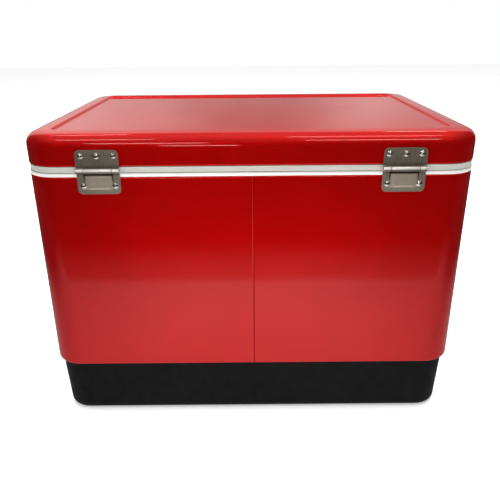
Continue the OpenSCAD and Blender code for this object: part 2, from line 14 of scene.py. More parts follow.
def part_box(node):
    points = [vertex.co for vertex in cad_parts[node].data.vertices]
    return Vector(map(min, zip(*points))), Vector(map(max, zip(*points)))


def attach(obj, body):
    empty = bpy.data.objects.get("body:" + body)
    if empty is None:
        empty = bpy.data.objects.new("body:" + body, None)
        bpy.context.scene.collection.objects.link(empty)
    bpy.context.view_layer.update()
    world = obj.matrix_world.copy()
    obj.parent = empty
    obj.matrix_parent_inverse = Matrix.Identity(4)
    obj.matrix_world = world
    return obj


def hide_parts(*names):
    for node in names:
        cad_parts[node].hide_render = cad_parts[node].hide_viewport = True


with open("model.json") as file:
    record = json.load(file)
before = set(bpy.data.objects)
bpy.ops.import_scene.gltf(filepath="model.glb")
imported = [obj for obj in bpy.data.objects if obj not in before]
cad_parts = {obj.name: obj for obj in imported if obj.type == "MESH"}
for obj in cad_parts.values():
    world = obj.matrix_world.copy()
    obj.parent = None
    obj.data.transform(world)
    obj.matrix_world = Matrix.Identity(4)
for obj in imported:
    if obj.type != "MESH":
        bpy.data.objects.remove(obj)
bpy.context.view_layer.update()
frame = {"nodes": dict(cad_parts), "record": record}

MM = 0.001

# ---------- sizes and places ----------


def middle_of(node):
    """The middle of a CAD node's box."""
    lo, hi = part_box(node)
    return (lo + hi) / 2


def extent(node):
    """The size of a CAD node's box along each axis."""
    lo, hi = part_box(node)
    return hi - lo


CASE_W, CASE_D, _ = extent("lid_shell")
FACE_X, FACE_Y = CASE_W / 2, CASE_D / 2
MIDDLE = FACE_Y - 1.5 * MM  # the inset at which a filled ring ends, just short of the middle line
CORNER_R = 44 * MM
LID_BOTTOM, LID_TOP = (corner.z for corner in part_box("lid_shell"))
JACKET_BOTTOM, JACKET_TOP = (corner.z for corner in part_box("body_jacket"))
COLLAR_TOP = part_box("body_liner")[1].z
HEM_R = 2.5 * MM
HEM_LIP = 8 * MM
SHEET = 1 * MM
SEAM_X = -2 * MM

FACE_GAP = 0.3 * MM
LEAF_T = 1.6 * MM
SEAT = FACE_GAP + LEAF_T
KNUCKLE_R = 3.65 * MM
REAR, FRONT = 1, -1
HINGE_X = abs(middle_of("hinge_left_pin").x)
HINGE_Z = middle_of("hinge_left_pin").z
EMBOSS_Z = 362 * MM  # middle of the pressed panel in a hinge's lower leaf
LATCH_Z = middle_of("latch_pin").z
RIDGE_Z = 343 * MM  # the keeper's ridge
PIVOT_X = abs(middle_of("handle_left_bail").x)
PIVOT_Y = abs(middle_of("handle_left_front_bracket").y)
ROD_R = 4 * MM
PIVOT_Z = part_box("handle_left_bail")[1].z - ROD_R
TUBE_R = 9.5 * MM  # the drain's tube

BODY_OF = {node: body for body, nodes in frame["record"]["behaviour"]["bodies"].items() for node in nodes}
SLOT_OF = {row["node"]: row["material_slot"] for row in frame["record"]["subparts"]}

# ---------- points ----------


def lerp(a, b, t):
    return a + (b - a) * t


def smooth(t):
    t = max(0.0, min(1.0, t))
    return t * t * (3 - 2 * t)


def arc(centre, radius, start, end, steps):
    """Points along an arc in a profile plane; angles are in degrees."""
    points = []
    for i in range(steps + 1):
        a = math.radians(lerp(start, end, i / steps))
        points.append((centre[0] + radius * math.cos(a), centre[1] + radius * math.sin(a)))
    return points


def line(a, b, steps):
    """Points from a to b, without a itself."""
    return [tuple(lerp(p, q, i / steps) for p, q in zip(a, b)) for i in range(1, steps + 1)]


def mirrored(half):
    """A profile of (radius, height) points from its lower half."""
    return half + [(r, -h) for r, h in reversed(half)]


def outline(corners, steps=7):
    """A closed outline from (u, v, radius) corners, anticlockwise, with each corner rounded."""
    points = []
    for i, (u, v, radius) in enumerate(corners):
        here = Vector((u, v))
        before = (Vector(corners[i - 1][:2]) - here).normalized()
        after = (Vector(corners[(i + 1) % len(corners)][:2]) - here).normalized()
        if radius <= 0:
            points.append((u, v))
            continue
        half = before.angle(after) / 2
        centre = here + (before + after).normalized() * (radius / math.sin(half))
        reach = radius / math.tan(half)
        a, b = here + before * reach - centre, here + after * reach - centre
        turn = a.angle_signed(b)
        for k in range(steps + 1):
            points.append(tuple(centre + Matrix.Rotation(-turn * k / steps, 2) @ a))
    return points


def rounded_outline(width, depth, radius, corner_steps, side_steps, back_marks=()):
    """Points round a rounded rectangle, anticlockwise from the right side's rear end.
    back_marks are extra places, in X, that the back side has a point at."""
    radius = max(radius, 0.5 * MM)
    corners = []
    for quarter, (sx, sy) in enumerate(((1, 1), (-1, 1), (-1, -1), (1, -1))):
        centre = (sx * (width / 2 - radius), sy * (depth / 2 - radius))
        corners.append(arc(centre, radius, 90 * quarter, 90 * (quarter + 1), corner_steps))
    points = []
    for quarter, corner in enumerate(corners):
        side = line(corner[-1], corners[(quarter + 1) % 4][0], side_steps)[:-1]
        if quarter == 0:
            side = sorted(side + [(x, corner[-1][1]) for x in back_marks], key=lambda p: -p[0])
        points += corner + side
    return points


# ---------- meshes ----------


def in_scene(name, data):
    """A new object in the scene."""
    made = bpy.data.objects.new(name, data)
    bpy.context.scene.collection.objects.link(made)
    return made


def shade(mesh, sharp_degrees):
    """Smooth shading with sharp creases, after any faulty face is dropped."""
    mesh.validate()
    for polygon in mesh.polygons:
        polygon.use_smooth = True
    mesh.set_sharp_from_angle(angle=math.radians(sharp_degrees))


def finished(name, work, sharp_degrees=35):
    """A shaded object from a bmesh, which is used up."""
    mesh = bpy.data.meshes.new(name)
    work.to_mesh(mesh)
    work.free()
    shade(mesh, sharp_degrees)
    return in_scene(name, mesh)


def copied(mesh):
    """A bmesh of a mesh."""
    work = bmesh.new()
    work.from_mesh(mesh)
    return work


def make_piece(name, vertices, faces, sharp_degrees=35):
    """A new mesh object with outward normals."""
    raw = bpy.data.meshes.new(name)
    raw.from_pydata([tuple(v) for v in vertices], [], faces)
    work = copied(raw)
    bpy.data.meshes.remove(raw)
    bmesh.ops.remove_doubles(work, verts=work.verts, dist=1e-6)
    bmesh.ops.recalc_face_normals(work, faces=work.faces)
    return finished(name, work, sharp_degrees)


def skin(name, rings, closed=False, caps=(True, True), sharp_degrees=35):
    """A surface through rings of points. The rings make a closed loop, or a run with its ends filled."""
    count, rows = len(rings[0]), len(rings)
    faces = []
    for i in range(rows if closed else rows - 1):
        a, b = i * count, (i + 1) % rows * count
        faces += [(a + j, a + (j + 1) % count, b + (j + 1) % count, b + j) for j in range(count)]
    if not closed:
        ends = (range(count), reversed(range((rows - 1) * count, rows * count)))
        faces += [tuple(end) for end, filled in zip(ends, caps) if filled]
    return make_piece(name, [point for ring in rings for point in ring], faces, sharp_degrees)


def sweep(name, profile, corner_steps, side_steps, size=(CASE_W, CASE_D, CORNER_R), closed=False,
          back_marks=(), bend=None, sharp_degrees=35):
    """Carries a profile round a rounded rectangle of a (width, depth, corner radius), which is the case
    itself unless it is given. Each profile point is (inset, height) or (inset, height, corner radius).
    bend moves a point: it takes and returns a Vector."""
    width, depth, radius = size
    rings = []
    for inset, height, *own_corner in profile:
        corner = own_corner[0] if own_corner else radius - inset
        corner = min(corner, width / 2 - inset, depth / 2 - inset)
        ring = [Vector((x, y, height)) for x, y in rounded_outline(
            width - 2 * inset, depth - 2 * inset, corner, corner_steps, side_steps, back_marks)]
        rings.append([bend(v) for v in ring] if bend else ring)
    return skin(name, rings, closed, sharp_degrees=sharp_degrees)


def lathe(name, profile, frame_matrix, steps, wave=None, closed=False):
    """Turns a profile of (radius, height) points about local Z. wave(angle, radius, height) returns a
    changed radius. A closed profile makes a ring, such as a tube with its bore."""
    rings = []
    for radius, height in profile:
        ring = []
        for j in range(steps):
            a = 2 * math.pi * j / steps
            r = wave(a, radius, height) if wave else radius
            ring.append(frame_matrix @ Vector((r * math.cos(a), r * math.sin(a), height)))
        rings.append(ring)
    return skin(name, rings, closed, [profile[end][0] > 1e-6 for end in (0, -1)])


def quarter_turn(place, axis="Y"):
    """Takes local Z to another axis at a place."""
    return Matrix.Translation(place) @ Matrix.Rotation(math.radians(90), 4, axis)


def join(name, parts, sharp_degrees=35):
    """One object from several."""
    work = bmesh.new()
    for part in parts:
        work.from_mesh(part.data)
        bpy.data.objects.remove(part)
    return finished(name, work, sharp_degrees)


def boolean(piece, other, operation, sharp_degrees=35):
    """Applies an exact boolean, and removes the other object."""
    modifier = piece.modifiers.new("cut", "BOOLEAN")
    modifier.operation = operation
    modifier.solver = "EXACT"
    modifier.object = other
    graph = bpy.context.evaluated_depsgraph_get()
    mesh = bpy.data.meshes.new_from_object(piece.evaluated_get(graph))
    piece.modifiers.clear()
    piece.data = mesh
    bpy.data.objects.remove(other)
    shade(mesh, sharp_degrees)
    return piece


def softened(name, node, width, steps):
    """A copy of a CAD node with its flat faces cleaned up and its sharp edges rounded over."""
    weld, flat_degrees, corner_degrees = 2e-6, 1.2, 38
    work = copied(frame["nodes"][node].data)
    bmesh.ops.remove_doubles(work, verts=work.verts, dist=weld)
    bmesh.ops.dissolve_limit(work, angle_limit=math.radians(flat_degrees), verts=work.verts,
                             edges=work.edges, delimit={"NORMAL"})
    corners = [e for e in work.edges
               if len(e.link_faces) == 2 and e.calc_face_angle(0) > math.radians(corner_degrees)]
    bmesh.ops.bevel(work, geom=corners, offset=width, offset_type="OFFSET", segments=steps,
                    profile=0.5, affect="EDGES", clamp_overlap=True, loop_slide=True)
    bmesh.ops.remove_doubles(work, verts=work.verts, dist=weld)
    return finished(name, work)


def stand_for(piece, node):
    """The piece takes a CAD node's place: its body, its slot and that slot's material."""
    piece.data.materials.clear()
    piece.data.materials.append(MATERIALS[SLOT_OF[node]])
    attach(piece, BODY_OF[node])
    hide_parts(node)
    return piece


# ---------- materials ----------


class Nodes:
    """Short calls for the node tree of a material, or of another owner such as the world."""

    def __init__(self, name, owner=None):
        self.owner = owner or bpy.data.materials.new(name)
        self.owner.use_nodes = True
        self.tree = self.owner.node_tree
        self.shader = self.tree.nodes.get("Principled BSDF")
        self.place = self.node("ShaderNodeTexCoord").outputs["Object"]

    def feed(self, value, socket):
        """Links an output to a socket, or sets the socket to a plain number, vector or colour."""
        if isinstance(value, bpy.types.NodeSocket):
            self.tree.links.new(value, socket)
        else:
            socket.default_value = (*value, 1) if socket.type == "RGBA" else value

    def node(self, kind, inputs=(), **settings):
        made = self.tree.nodes.new(kind)
        for key, value in settings.items():
            setattr(made, key, value)
        for key, value in dict(inputs).items():
            self.feed(value, made.inputs[key])
        return made

    def stretched(self, scale):
        """The object's coordinates, scaled by axis."""
        return self.node("ShaderNodeMapping", {"Vector": self.place, "Scale": scale}).outputs["Vector"]

    def noise(self, scale, detail, roughness, vector=None):
        return self.node("ShaderNodeTexNoise", {"Scale": scale, "Detail": detail, "Roughness": roughness,
                                                "Vector": vector or self.place}).outputs["Fac"]

    def cells(self, scale):
        return self.node("ShaderNodeTexVoronoi", {"Scale": scale, "Vector": self.place}).outputs["Distance"]

    def along(self, axis):
        """A point's place along X, Y or Z when the chest is closed."""
        return self.node("ShaderNodeSeparateXYZ", {"Vector": self.place}).outputs[axis]

    def ramp(self, value, low, high, bottom=0.0, top=1.0):
        """The value between low and high, spread from bottom to top."""
        return self.node("ShaderNodeMapRange", {"Value": value, "From Min": low, "From Max": high,
                                                "To Min": bottom, "To Max": top},
                         interpolation_type="SMOOTHSTEP").outputs["Result"]

    def maths(self, operation, *values):
        """One operation, carried through two or more values."""
        result = values[0]
        for value in values[1:]:
            step = self.node("ShaderNodeMath", operation=operation)
            self.feed(result, step.inputs[0])
            self.feed(value, step.inputs[1])
            result = step.outputs["Value"]
        return result

    def times(self, *values):
        return self.maths("MULTIPLY", *values)

    def size_of(self, value):
        """The value without its sign."""
        return self.maths("ABSOLUTE", value, 0)

    def band(self, value, start, rise, fall):
        """1 between two soft edges. rise and fall are pairs of distances from start, in millimetres."""
        return self.times(self.ramp(value, *(start + d * MM for d in rise)),
                          self.ramp(value, *(start + d * MM for d in fall), 1.0, 0.0))

    def mix(self, factor, first, second):
        mixed = self.node("ShaderNodeMix", {"Factor": factor}, data_type="RGBA")
        for name, colour in (("A", first), ("B", second)):
            self.feed(colour, next(s for s in mixed.inputs if s.name == name and s.type == "RGBA"))
        return next(s for s in mixed.outputs if s.type == "RGBA")

    def bump(self, value, strength, distance, below=None):
        made = self.node("ShaderNodeBump", {"Strength": strength, "Distance": distance, "Height": value})
        if below:
            self.feed(below, made.inputs["Normal"])
        return made.outputs["Normal"]

    def finish(self, colour, rough, **sockets):
        """Connects the shader. sockets are other inputs of the shader, with _ for a space."""
        for key, value in {"Base_Color": colour, "Roughness": rough, **sockets}.items():
            self.feed(value, self.shader.inputs[key.replace("_", " ")])
        return self.owner


def red_paint():
    """Gloss stoved enamel: faint orange peel and slow waves in the sheet under a clear coat. Behind, the
    jacket's lap has painted shade, with less clear coat, in its gap, and a painted highlight on the lapped
    edge beside it."""
    n = Nodes("red_enamel")
    colour = n.mix(n.ramp(n.noise(7, 3, 0.5), 0.35, 0.68), (0.62, 0.0014, 0.0010), (0.66, 0.0022, 0.0015))
    rub = n.ramp(n.noise(21, 5, 0.65, n.stretched((1, 1, 2.5))), 0.50, 0.80)
    colour = n.mix(n.times(rub, 0.07), colour, (0.65, 0.020, 0.016))
    across, height = n.along("X"), n.along("Z")
    behind = n.times(n.ramp(n.along("Y"), FACE_Y - 4 * MM, FACE_Y - 3 * MM),
                     n.ramp(height, JACKET_TOP - 1 * MM, JACKET_TOP, 1.0, 0.0))
    # Painted shade in the lap's gap, deeper lower down; it also takes most of the clear coat away there.
    gap = n.times(n.band(across, SEAM_X, (-1.5, -1.0), (-0.2, 0.1)), n.ramp(height, 0.16, 0.33, 1.0, 0.6),
                  behind)
    # Painted highlight along the lapped edge beside the gap.
    lip = n.times(n.band(across, SEAM_X, (-0.1, 0.2), (0.9, 1.3)), n.ramp(height, 0.19, 0.26),
                  n.ramp(height, 0.28, 0.36, 1.0, 0.35), behind)
    colour = n.mix(n.times(gap, 0.75), colour, (0.16, 0.0010, 0.0008))
    colour = n.mix(n.times(lip, 0.8), colour, (0.88, 0.075, 0.060))
    rough = n.ramp(n.noise(12, 5, 0.6), 0.35, 0.75, 0.37, 0.43)
    peel = n.bump(n.noise(330, 2, 0.5), 0.012, 0.0004)
    return n.finish(colour, rough, Normal=n.bump(n.noise(9, 1, 0.3), 0.002, 0.006, peel), Metallic=0.76,
                    Coat_Weight=n.maths("SUBTRACT", 1.0, n.times(gap, 0.85)), Coat_Roughness=0.03,
                    Coat_IOR=1.5, Specular_IOR_Level=0.05, Specular_Tint=(1.0, 0.12, 0.10))


def white_plastic():
    """Moulded polypropylene: faint yellowing, fine grain, soft handling marks and a greyer line where the
    lid's edge shades the gap above the collar."""
    n = Nodes("white_moulding")
    colour = n.mix(n.ramp(n.noise(7, 4, 0.55), 0.35, 0.7), (0.80, 0.79, 0.755), (0.74, 0.725, 0.68))
    marks = n.ramp(n.noise(70, 6, 0.75, n.stretched((1, 1, 5))), 0.62, 0.8)
    colour = n.mix(n.times(marks, 0.25), colour, (0.55, 0.53, 0.49))
    height = n.along("Z")
    shaded = n.times(n.ramp(height, COLLAR_TOP - 2.3 * MM, COLLAR_TOP - 0.3 * MM),
                     n.ramp(height, LID_BOTTOM, LID_BOTTOM + 0.5 * MM, 1.0, 0.0))
    colour = n.mix(n.times(shaded, 0.85), colour, (0.43, 0.43, 0.385))
    rough = n.ramp(n.noise(120, 4, 0.6), 0.3, 0.7, 0.30, 0.46)
    return n.finish(colour, rough, Normal=n.bump(n.noise(1600, 2, 0.5), 0.06, 0.0002),
                    Subsurface_Weight=0.06, Subsurface_Scale=0.004, Specular_IOR_Level=0.5)


def black_plastic():
    """Moulded polypropylene with a fine spark-eroded grain, scuffed grey near the floor."""
    n = Nodes("black_moulding")
    cloud = n.ramp(n.noise(11, 5, 0.6), 0.3, 0.72)
    colour = n.mix(cloud, (0.0030, 0.0028, 0.0028), (0.0052, 0.0049, 0.0048))
    low = n.ramp(n.along("Z"), 0.0, 0.022, 1.0, 0.0)
    scuffs = n.ramp(n.noise(150, 7, 0.75, n.stretched((1, 1, 3))), 0.55, 0.72)
    colour = n.mix(n.times(low, scuffs, 0.5), colour, (0.07, 0.068, 0.063))
    rough = n.ramp(n.noise(90, 4, 0.6), 0.3, 0.7, 0.52, 0.68)
    grain = n.bump(n.noise(1900, 3, 0.6), 0.22, 0.0003)
    return n.finish(colour, rough, Normal=n.bump(n.cells(1300), 0.10, 0.0003, grain), Specular_IOR_Level=0.14)


def foam():
    """Poured polyurethane: closed cells with a darker skin."""
    n = Nodes("poured_foam")
    cells = n.cells(420)
    colour = n.mix(n.ramp(cells, 0.05, 0.6), (0.62, 0.47, 0.22), (0.84, 0.74, 0.47))
    colour = n.mix(n.ramp(n.noise(16, 4, 0.6), 0.4, 0.75, 0.0, 0.4), colour, (0.55, 0.40, 0.18))
    rough = n.ramp(n.noise(200, 2, 0.5), 0.3, 0.7, 0.8, 0.95)
    return n.finish(colour, rough, Normal=n.bump(cells, 0.5, 0.001), Specular_IOR_Level=0.3)


def stainless_sheet():
    """Rolled stainless with an upright brushed grain, random hairlines and dull handled patches. Painted
    light makes it paler below the lid's edge; the hinges have painted highlights on their knuckles and
    painted shadow under them and round the lower leaf's pressed panel."""
    n = Nodes("brushed_stainless")
    grain = n.noise(60, 5, 0.7, n.stretched((40, 40, 1)))
    hairs = n.noise(35, 3, 0.8, n.stretched((1, 1, 30)))
    patches = n.ramp(n.noise(60, 4, 0.6), 0.35, 0.7)
    colour = n.mix(n.ramp(grain, 0.3, 0.7), (0.17, 0.147, 0.115), (0.235, 0.205, 0.160))
    colour = n.mix(n.times(patches, 0.35), colour, (0.13, 0.112, 0.09))
    height = n.along("Z")
    # Painted light: below the lid's edge the stainless is painted much paler, as though more brightly lit.
    painted_light_low = n.ramp(height, JACKET_TOP + 1 * MM, COLLAR_TOP, 1.0, 0.0)
    colour = n.mix(n.times(painted_light_low, 0.62), colour, (0.62, 0.53, 0.41))

    behind = n.maths("GREATER_THAN", n.along("Y"), 0.0)
    off_middle = n.size_of(n.maths("SUBTRACT", n.size_of(n.along("X")), HINGE_X))
    # Painted highlight along the upper side of the hinge knuckles.
    knuckle_highlight = n.times(n.band(height, HINGE_Z, (-0.9, 0.1), (2.2, 3.2)), behind)
    colour = n.mix(knuckle_highlight, colour, (0.95, 0.91, 0.85))
    lower_leaf = n.times(n.ramp(height, HINGE_Z - 3.4 * MM, HINGE_Z - 2.2 * MM, 1.0, 0.0), behind)
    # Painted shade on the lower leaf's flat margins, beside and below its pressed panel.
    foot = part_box("hinge_left_body_leaf")[0].z
    margin_shade = n.maths("MAXIMUM", n.ramp(off_middle, 17.6 * MM, 19 * MM),
                     n.ramp(height, foot + 5.4 * MM, foot + 6.8 * MM, 1.0, 0.0))
    margin_shade = n.times(margin_shade, n.ramp(off_middle, 28 * MM, 30 * MM, 1.0, 0.0), lower_leaf)
    colour = n.mix(n.times(margin_shade, 0.5), colour, (0.09, 0.076, 0.056))
    # Painted shadow colour, for the sides of the pressed panel and the band under the middle knuckle.
    painted_shadow_colour = (0.012, 0.007, 0.004)
    # Painted shadow down the sides of the pressed panel, deeper lower down.
    panel_side_shadow = n.times(n.band(off_middle, 0, (16.3, 17.4), (18.4, 19.8)), lower_leaf,
                         n.ramp(height, HINGE_Z - 20 * MM, HINGE_Z - 8 * MM, 0.1, 0.85))
    colour = n.mix(panel_side_shadow, colour, painted_shadow_colour)
    # Painted shadow under the middle knuckle.
    under = n.times(n.band(height, HINGE_Z, (-7.4, -6.4), (-3.4, -2.2)), behind,
                    n.ramp(off_middle, 17.5 * MM, 19.5 * MM, 1.0, 0.0))
    colour = n.mix(n.times(under, 0.9), colour, painted_shadow_colour)

    rough = n.ramp(n.maths("ADD", n.times(grain, 0.6), n.times(hairs, 0.4)), 0.35, 0.65, 0.26, 0.42)
    return n.finish(colour, rough, Normal=n.bump(grain, 0.10, 0.0002, n.bump(hairs, 0.05, 0.0003)),
                    Metallic=0.62, Anisotropic=0.35, Specular_IOR_Level=0.5)


def turned_steel(name, bright, dark, low, high):
    """Plated steel: tarnish in soft clouds, with pin-point pits."""
    n = Nodes(name)
    colour = n.mix(n.ramp(n.noise(240, 4, 0.6), 0.35, 0.7), bright, dark)
    pits = n.times(n.ramp(n.cells(900), 0.0, 0.12, 1.0, 0.0), n.ramp(n.noise(170, 2, 0.5), 0.56, 0.64))
    colour = n.mix(n.times(pits, 0.6), colour, (0.10, 0.085, 0.07))
    rough = n.ramp(n.noise(500, 4, 0.7), 0.3, 0.7, low, high)
    normal = n.bump(n.noise(700, 3, 0.6), 0.05, 0.0002, n.bump(pits, -0.1, 0.0002))
    return n.finish(colour, rough, Normal=normal, Metallic=1.0)


def black_fitting(name, grain_scale, low, high):
    """Black moulded fitting with a fine grain and paler rubbed clouds."""
    n = Nodes(name)
    cloud = n.ramp(n.noise(60, 5, 0.65), 0.45, 0.75)
    colour = n.mix(cloud, (0.013, 0.013, 0.0135), (0.026, 0.0255, 0.025))
    rough = n.ramp(n.noise(170, 4, 0.6), 0.3, 0.7, low, high)
    return n.finish(colour, rough, Normal=n.bump(n.noise(grain_scale, 3, 0.6), 0.15, 0.0003),
                    Specular_IOR_Level=0.45)


MATERIALS = {
    "red_paint": red_paint(),
    "white_plastic": white_plastic(),
    "black_plastic": black_plastic(),
    "foam": foam(),
    "stainless_sheet": stainless_sheet(),
    "steel_fasteners": turned_steel("plated_fasteners", (0.92, 0.90, 0.86), (0.76, 0.73, 0.67), 0.13, 0.26),
    "steel_rod": turned_steel("polished_rod", (0.68, 0.68, 0.67), (0.58, 0.57, 0.55), 0.10, 0.22),
    "opener_casting": turned_steel("satin_casting", (0.62, 0.61, 0.59), (0.50, 0.49, 0.46), 0.20, 0.34),
    "grip_plastic": black_fitting("grip_moulding", 1500, 0.42, 0.56),
    "drain_plastic": black_fitting("drain_moulding", 1900, 0.45, 0.60),
    "rubber": black_fitting("seal_rubber", 900, 0.62, 0.78),
}


# ---------- lid and body ----------


def sheet_wave(x, y, z, seed):
    """A smooth wave between -1 and 1, as thin sheet steel has."""
    size = 160 * MM
    return noise.noise(Vector((x / size + seed, y / size - seed, z / size)))


def lid_skin():
    """Pressed lid: crowned sunk panel, soft step, flat border, rolled edge, skirt and curled hem."""
    edge_r, border, step, drop = 16.5 * MM, 31 * MM, 6 * MM, 3 * MM
    top, low = LID_TOP, LID_BOTTOM
    panel = border + step
    step_trim = 0.6 * MM

    def corner(inset):
        return max(CORNER_R - inset, 7 * MM)

    outer = [(lerp(MIDDLE, panel, i / 22), top - drop, corner(panel)) for i in range(22)]
    for i in range(11):
        inset = lerp(panel - step_trim, border + step_trim, i / 10)
        outer.append((inset, top - drop * (1 - smooth(i / 10)), corner(inset)))
    fall, flat, fall_run, roll_start = 1.075 * MM, border - 1.5 * MM, 15.3 * MM, 98
    roll_z = top - fall - edge_r * math.sin(math.radians(roll_start))
    outer += [(d * MM, top - fall * ((flat - d * MM) / fall_run) ** 2) for d in (29.4, 26, 22, 18)]
    outer += arc((edge_r, roll_z), edge_r, roll_start, 180, 28)
    outer += line((0, roll_z), (0, low + HEM_R), 4)
    outer += arc((HEM_R, low + HEM_R), HEM_R, 180, 270, 7)[1:]
    outer += line((HEM_R, low), (HEM_R + HEM_LIP, low), 2)
    inner = [(HEM_R + HEM_LIP, low + SHEET), (HEM_R, low + SHEET)]
    inner += arc((HEM_R, low + HEM_R), HEM_R - SHEET, 270, 180, 4)[1:]
    inner += arc((edge_r, top - edge_r), edge_r - SHEET, 180, 90, 8)
    inner += [(border, top - SHEET), (panel, top - drop - SHEET), (MIDDLE, top - drop - SHEET, corner(panel))]
    crown, dent = 1.1 * MM, 0.10 * MM

    def bend(v):
        fx = max(0.0, 1 - (v.x / (FACE_X - panel)) ** 2)
        fy = max(0.0, 1 - (v.y / (FACE_Y - panel)) ** 2)
        if v.z > top - 5 * MM:
            v.z += crown * fx * fy + dent * smooth(min(fx, fy) * 4) * sheet_wave(v.x, v.y, 0, 3.1)
        return v

    return stand_for(sweep("lid_shell_pressing", outer + inner, 20, 30, bend=bend), "lid_shell")


def lid_liner_moulding():
    """White inner lid: band edge, seat, rounded plug ring and a dished middle with a raised panel."""
    low, top = (corner.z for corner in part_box("lid_liner"))
    t, edge, edge_r = 2.5 * MM, 0.9 * MM, 0.2 * MM
    seat = top - 7.3 * MM
    dish, raised = seat + 4 * MM, 1.2 * MM
    plug, plug_r, plug_w = 46 * MM, 32 * MM, 15 * MM
    plug_end = plug + plug_w
    inner_r, outer_r, rim_r = 3.5 * MM, 3 * MM, 2 * MM

    def tub(inset, z):
        return (inset, z, max(plug_r - (inset - plug), 6 * MM))

    points = [(lerp(MIDDLE, plug_end + 24 * MM, i / 8), dish) for i in range(9)]
    for i in range(6):
        points.append((lerp(plug_end + 20 * MM, plug_end + 14 * MM, i / 5), dish - raised * smooth(i / 5)))
    points += arc((plug_end + 3.5 * MM, dish - raised - rim_r), rim_r, 90, 180, 4)
    points += arc((plug_end - 3 * MM, low + inner_r), inner_r, 0, -90, 5)
    points += arc((plug + outer_r + 1 * MM, low + outer_r), outer_r, -90, -180, 5)
    points = [tub(*p) for p in points]
    points += [tub(plug + 0.2 * MM, seat - 1.5 * MM), (plug - 1.3 * MM, seat, plug_r + 1 * MM)]
    points += [(lerp(plug - 8 * MM, 8 * MM, i / 3), seat, lerp(plug_r + 4 * MM, CORNER_R - 8 * MM, i / 3))
               for i in range(4)]
    points += arc((edge + edge_r, seat + edge_r), edge_r, 270, 180, 3)
    points += line((edge, seat + edge_r), (edge, top), 3)
    points += [(edge + t, top), (edge + t, seat + t), (20 * MM, seat + t),
               (plug - 8 * MM, seat + t, plug_r + 4 * MM), tub(plug + t, seat + t),
               tub(plug + t + 1 * MM, low + t), tub(plug_end - t, low + t),
               tub(plug_end + 2 * MM, dish + t), tub(MIDDLE, dish + t)]
    return stand_for(sweep("lid_liner_moulding", points, 14, 22), "lid_liner")


def jacket_skin():
    """Steel wrap with curled edges. One end laps over the other behind, and thin sheet waves a little."""
    low, top = JACKET_BOTTOM, JACKET_TOP
    lip, tail = HEM_R + HEM_LIP, HEM_R + HEM_LIP + 6 * MM
    points = [(tail, low)]
    points += line((lip, low), (HEM_R, low), 2)
    points += arc((HEM_R, low + HEM_R), HEM_R, 270, 180, 7)[1:]
    points += line((0, low + HEM_R), (0, low + 14 * MM), 3)
    points += line((0, low + 14 * MM), (0, top - HEM_R), 22)
    points += arc((HEM_R, top - HEM_R), HEM_R, 180, 90, 7)[1:]
    points += [(lip, top), (lip, top - SHEET), (HEM_R, top - SHEET)]
    points += arc((HEM_R, top - HEM_R), HEM_R - SHEET, 90, 180, 4)[1:]
    points += [(SHEET, low + HEM_R)]
    points += arc((HEM_R, low + HEM_R), HEM_R - SHEET, 180, 270, 4)[1:]
    points += [(tail, low + SHEET)]
    wave_size, wave_fade = 0.22 * MM, 30 * MM
    lap_depth, lap_width = 0.55 * MM, 15 * MM
    marks = [SEAM_X + d * MM for d in (-15, -8, -4, -1.5, -0.12, 0.12, 1.5, 4, 8, 15)]

    def bend(v):
        if max(abs(v.x) / FACE_X, abs(v.y) / FACE_Y) > 0.97:
            level = (v.z - low) / (top - low)
            calm = smooth(min(level, 1 - level) * 5)
            wave = wave_size * calm * (sheet_wave(v.x, v.y, v.z, 7.7) - 0.45)
            flat_x = smooth((FACE_X - CORNER_R - abs(v.x)) / wave_fade)
            flat_y = smooth((FACE_Y - CORNER_R - abs(v.y)) / wave_fade)
            v.y += math.copysign(wave * flat_x, v.y)
            v.x += math.copysign(wave * flat_y, v.x)
        past = (v.x - SEAM_X) / lap_width
        in_hem = v.z >= top - HEM_R + 1e-6
        outermost = FACE_Y - (HEM_R - 0.05 * MM if in_hem else 0.9 * MM)
        if v.y > outermost and 0 < past < 1 and v.z > low + 5 * MM:
            v.y -= lap_depth * (1 - smooth(past))
        return v

    piece = sweep("jacket_pressing", points, 20, 26, closed=True, back_marks=marks, bend=bend,
                  sharp_degrees=30)
    return stand_for(piece, "body_jacket")


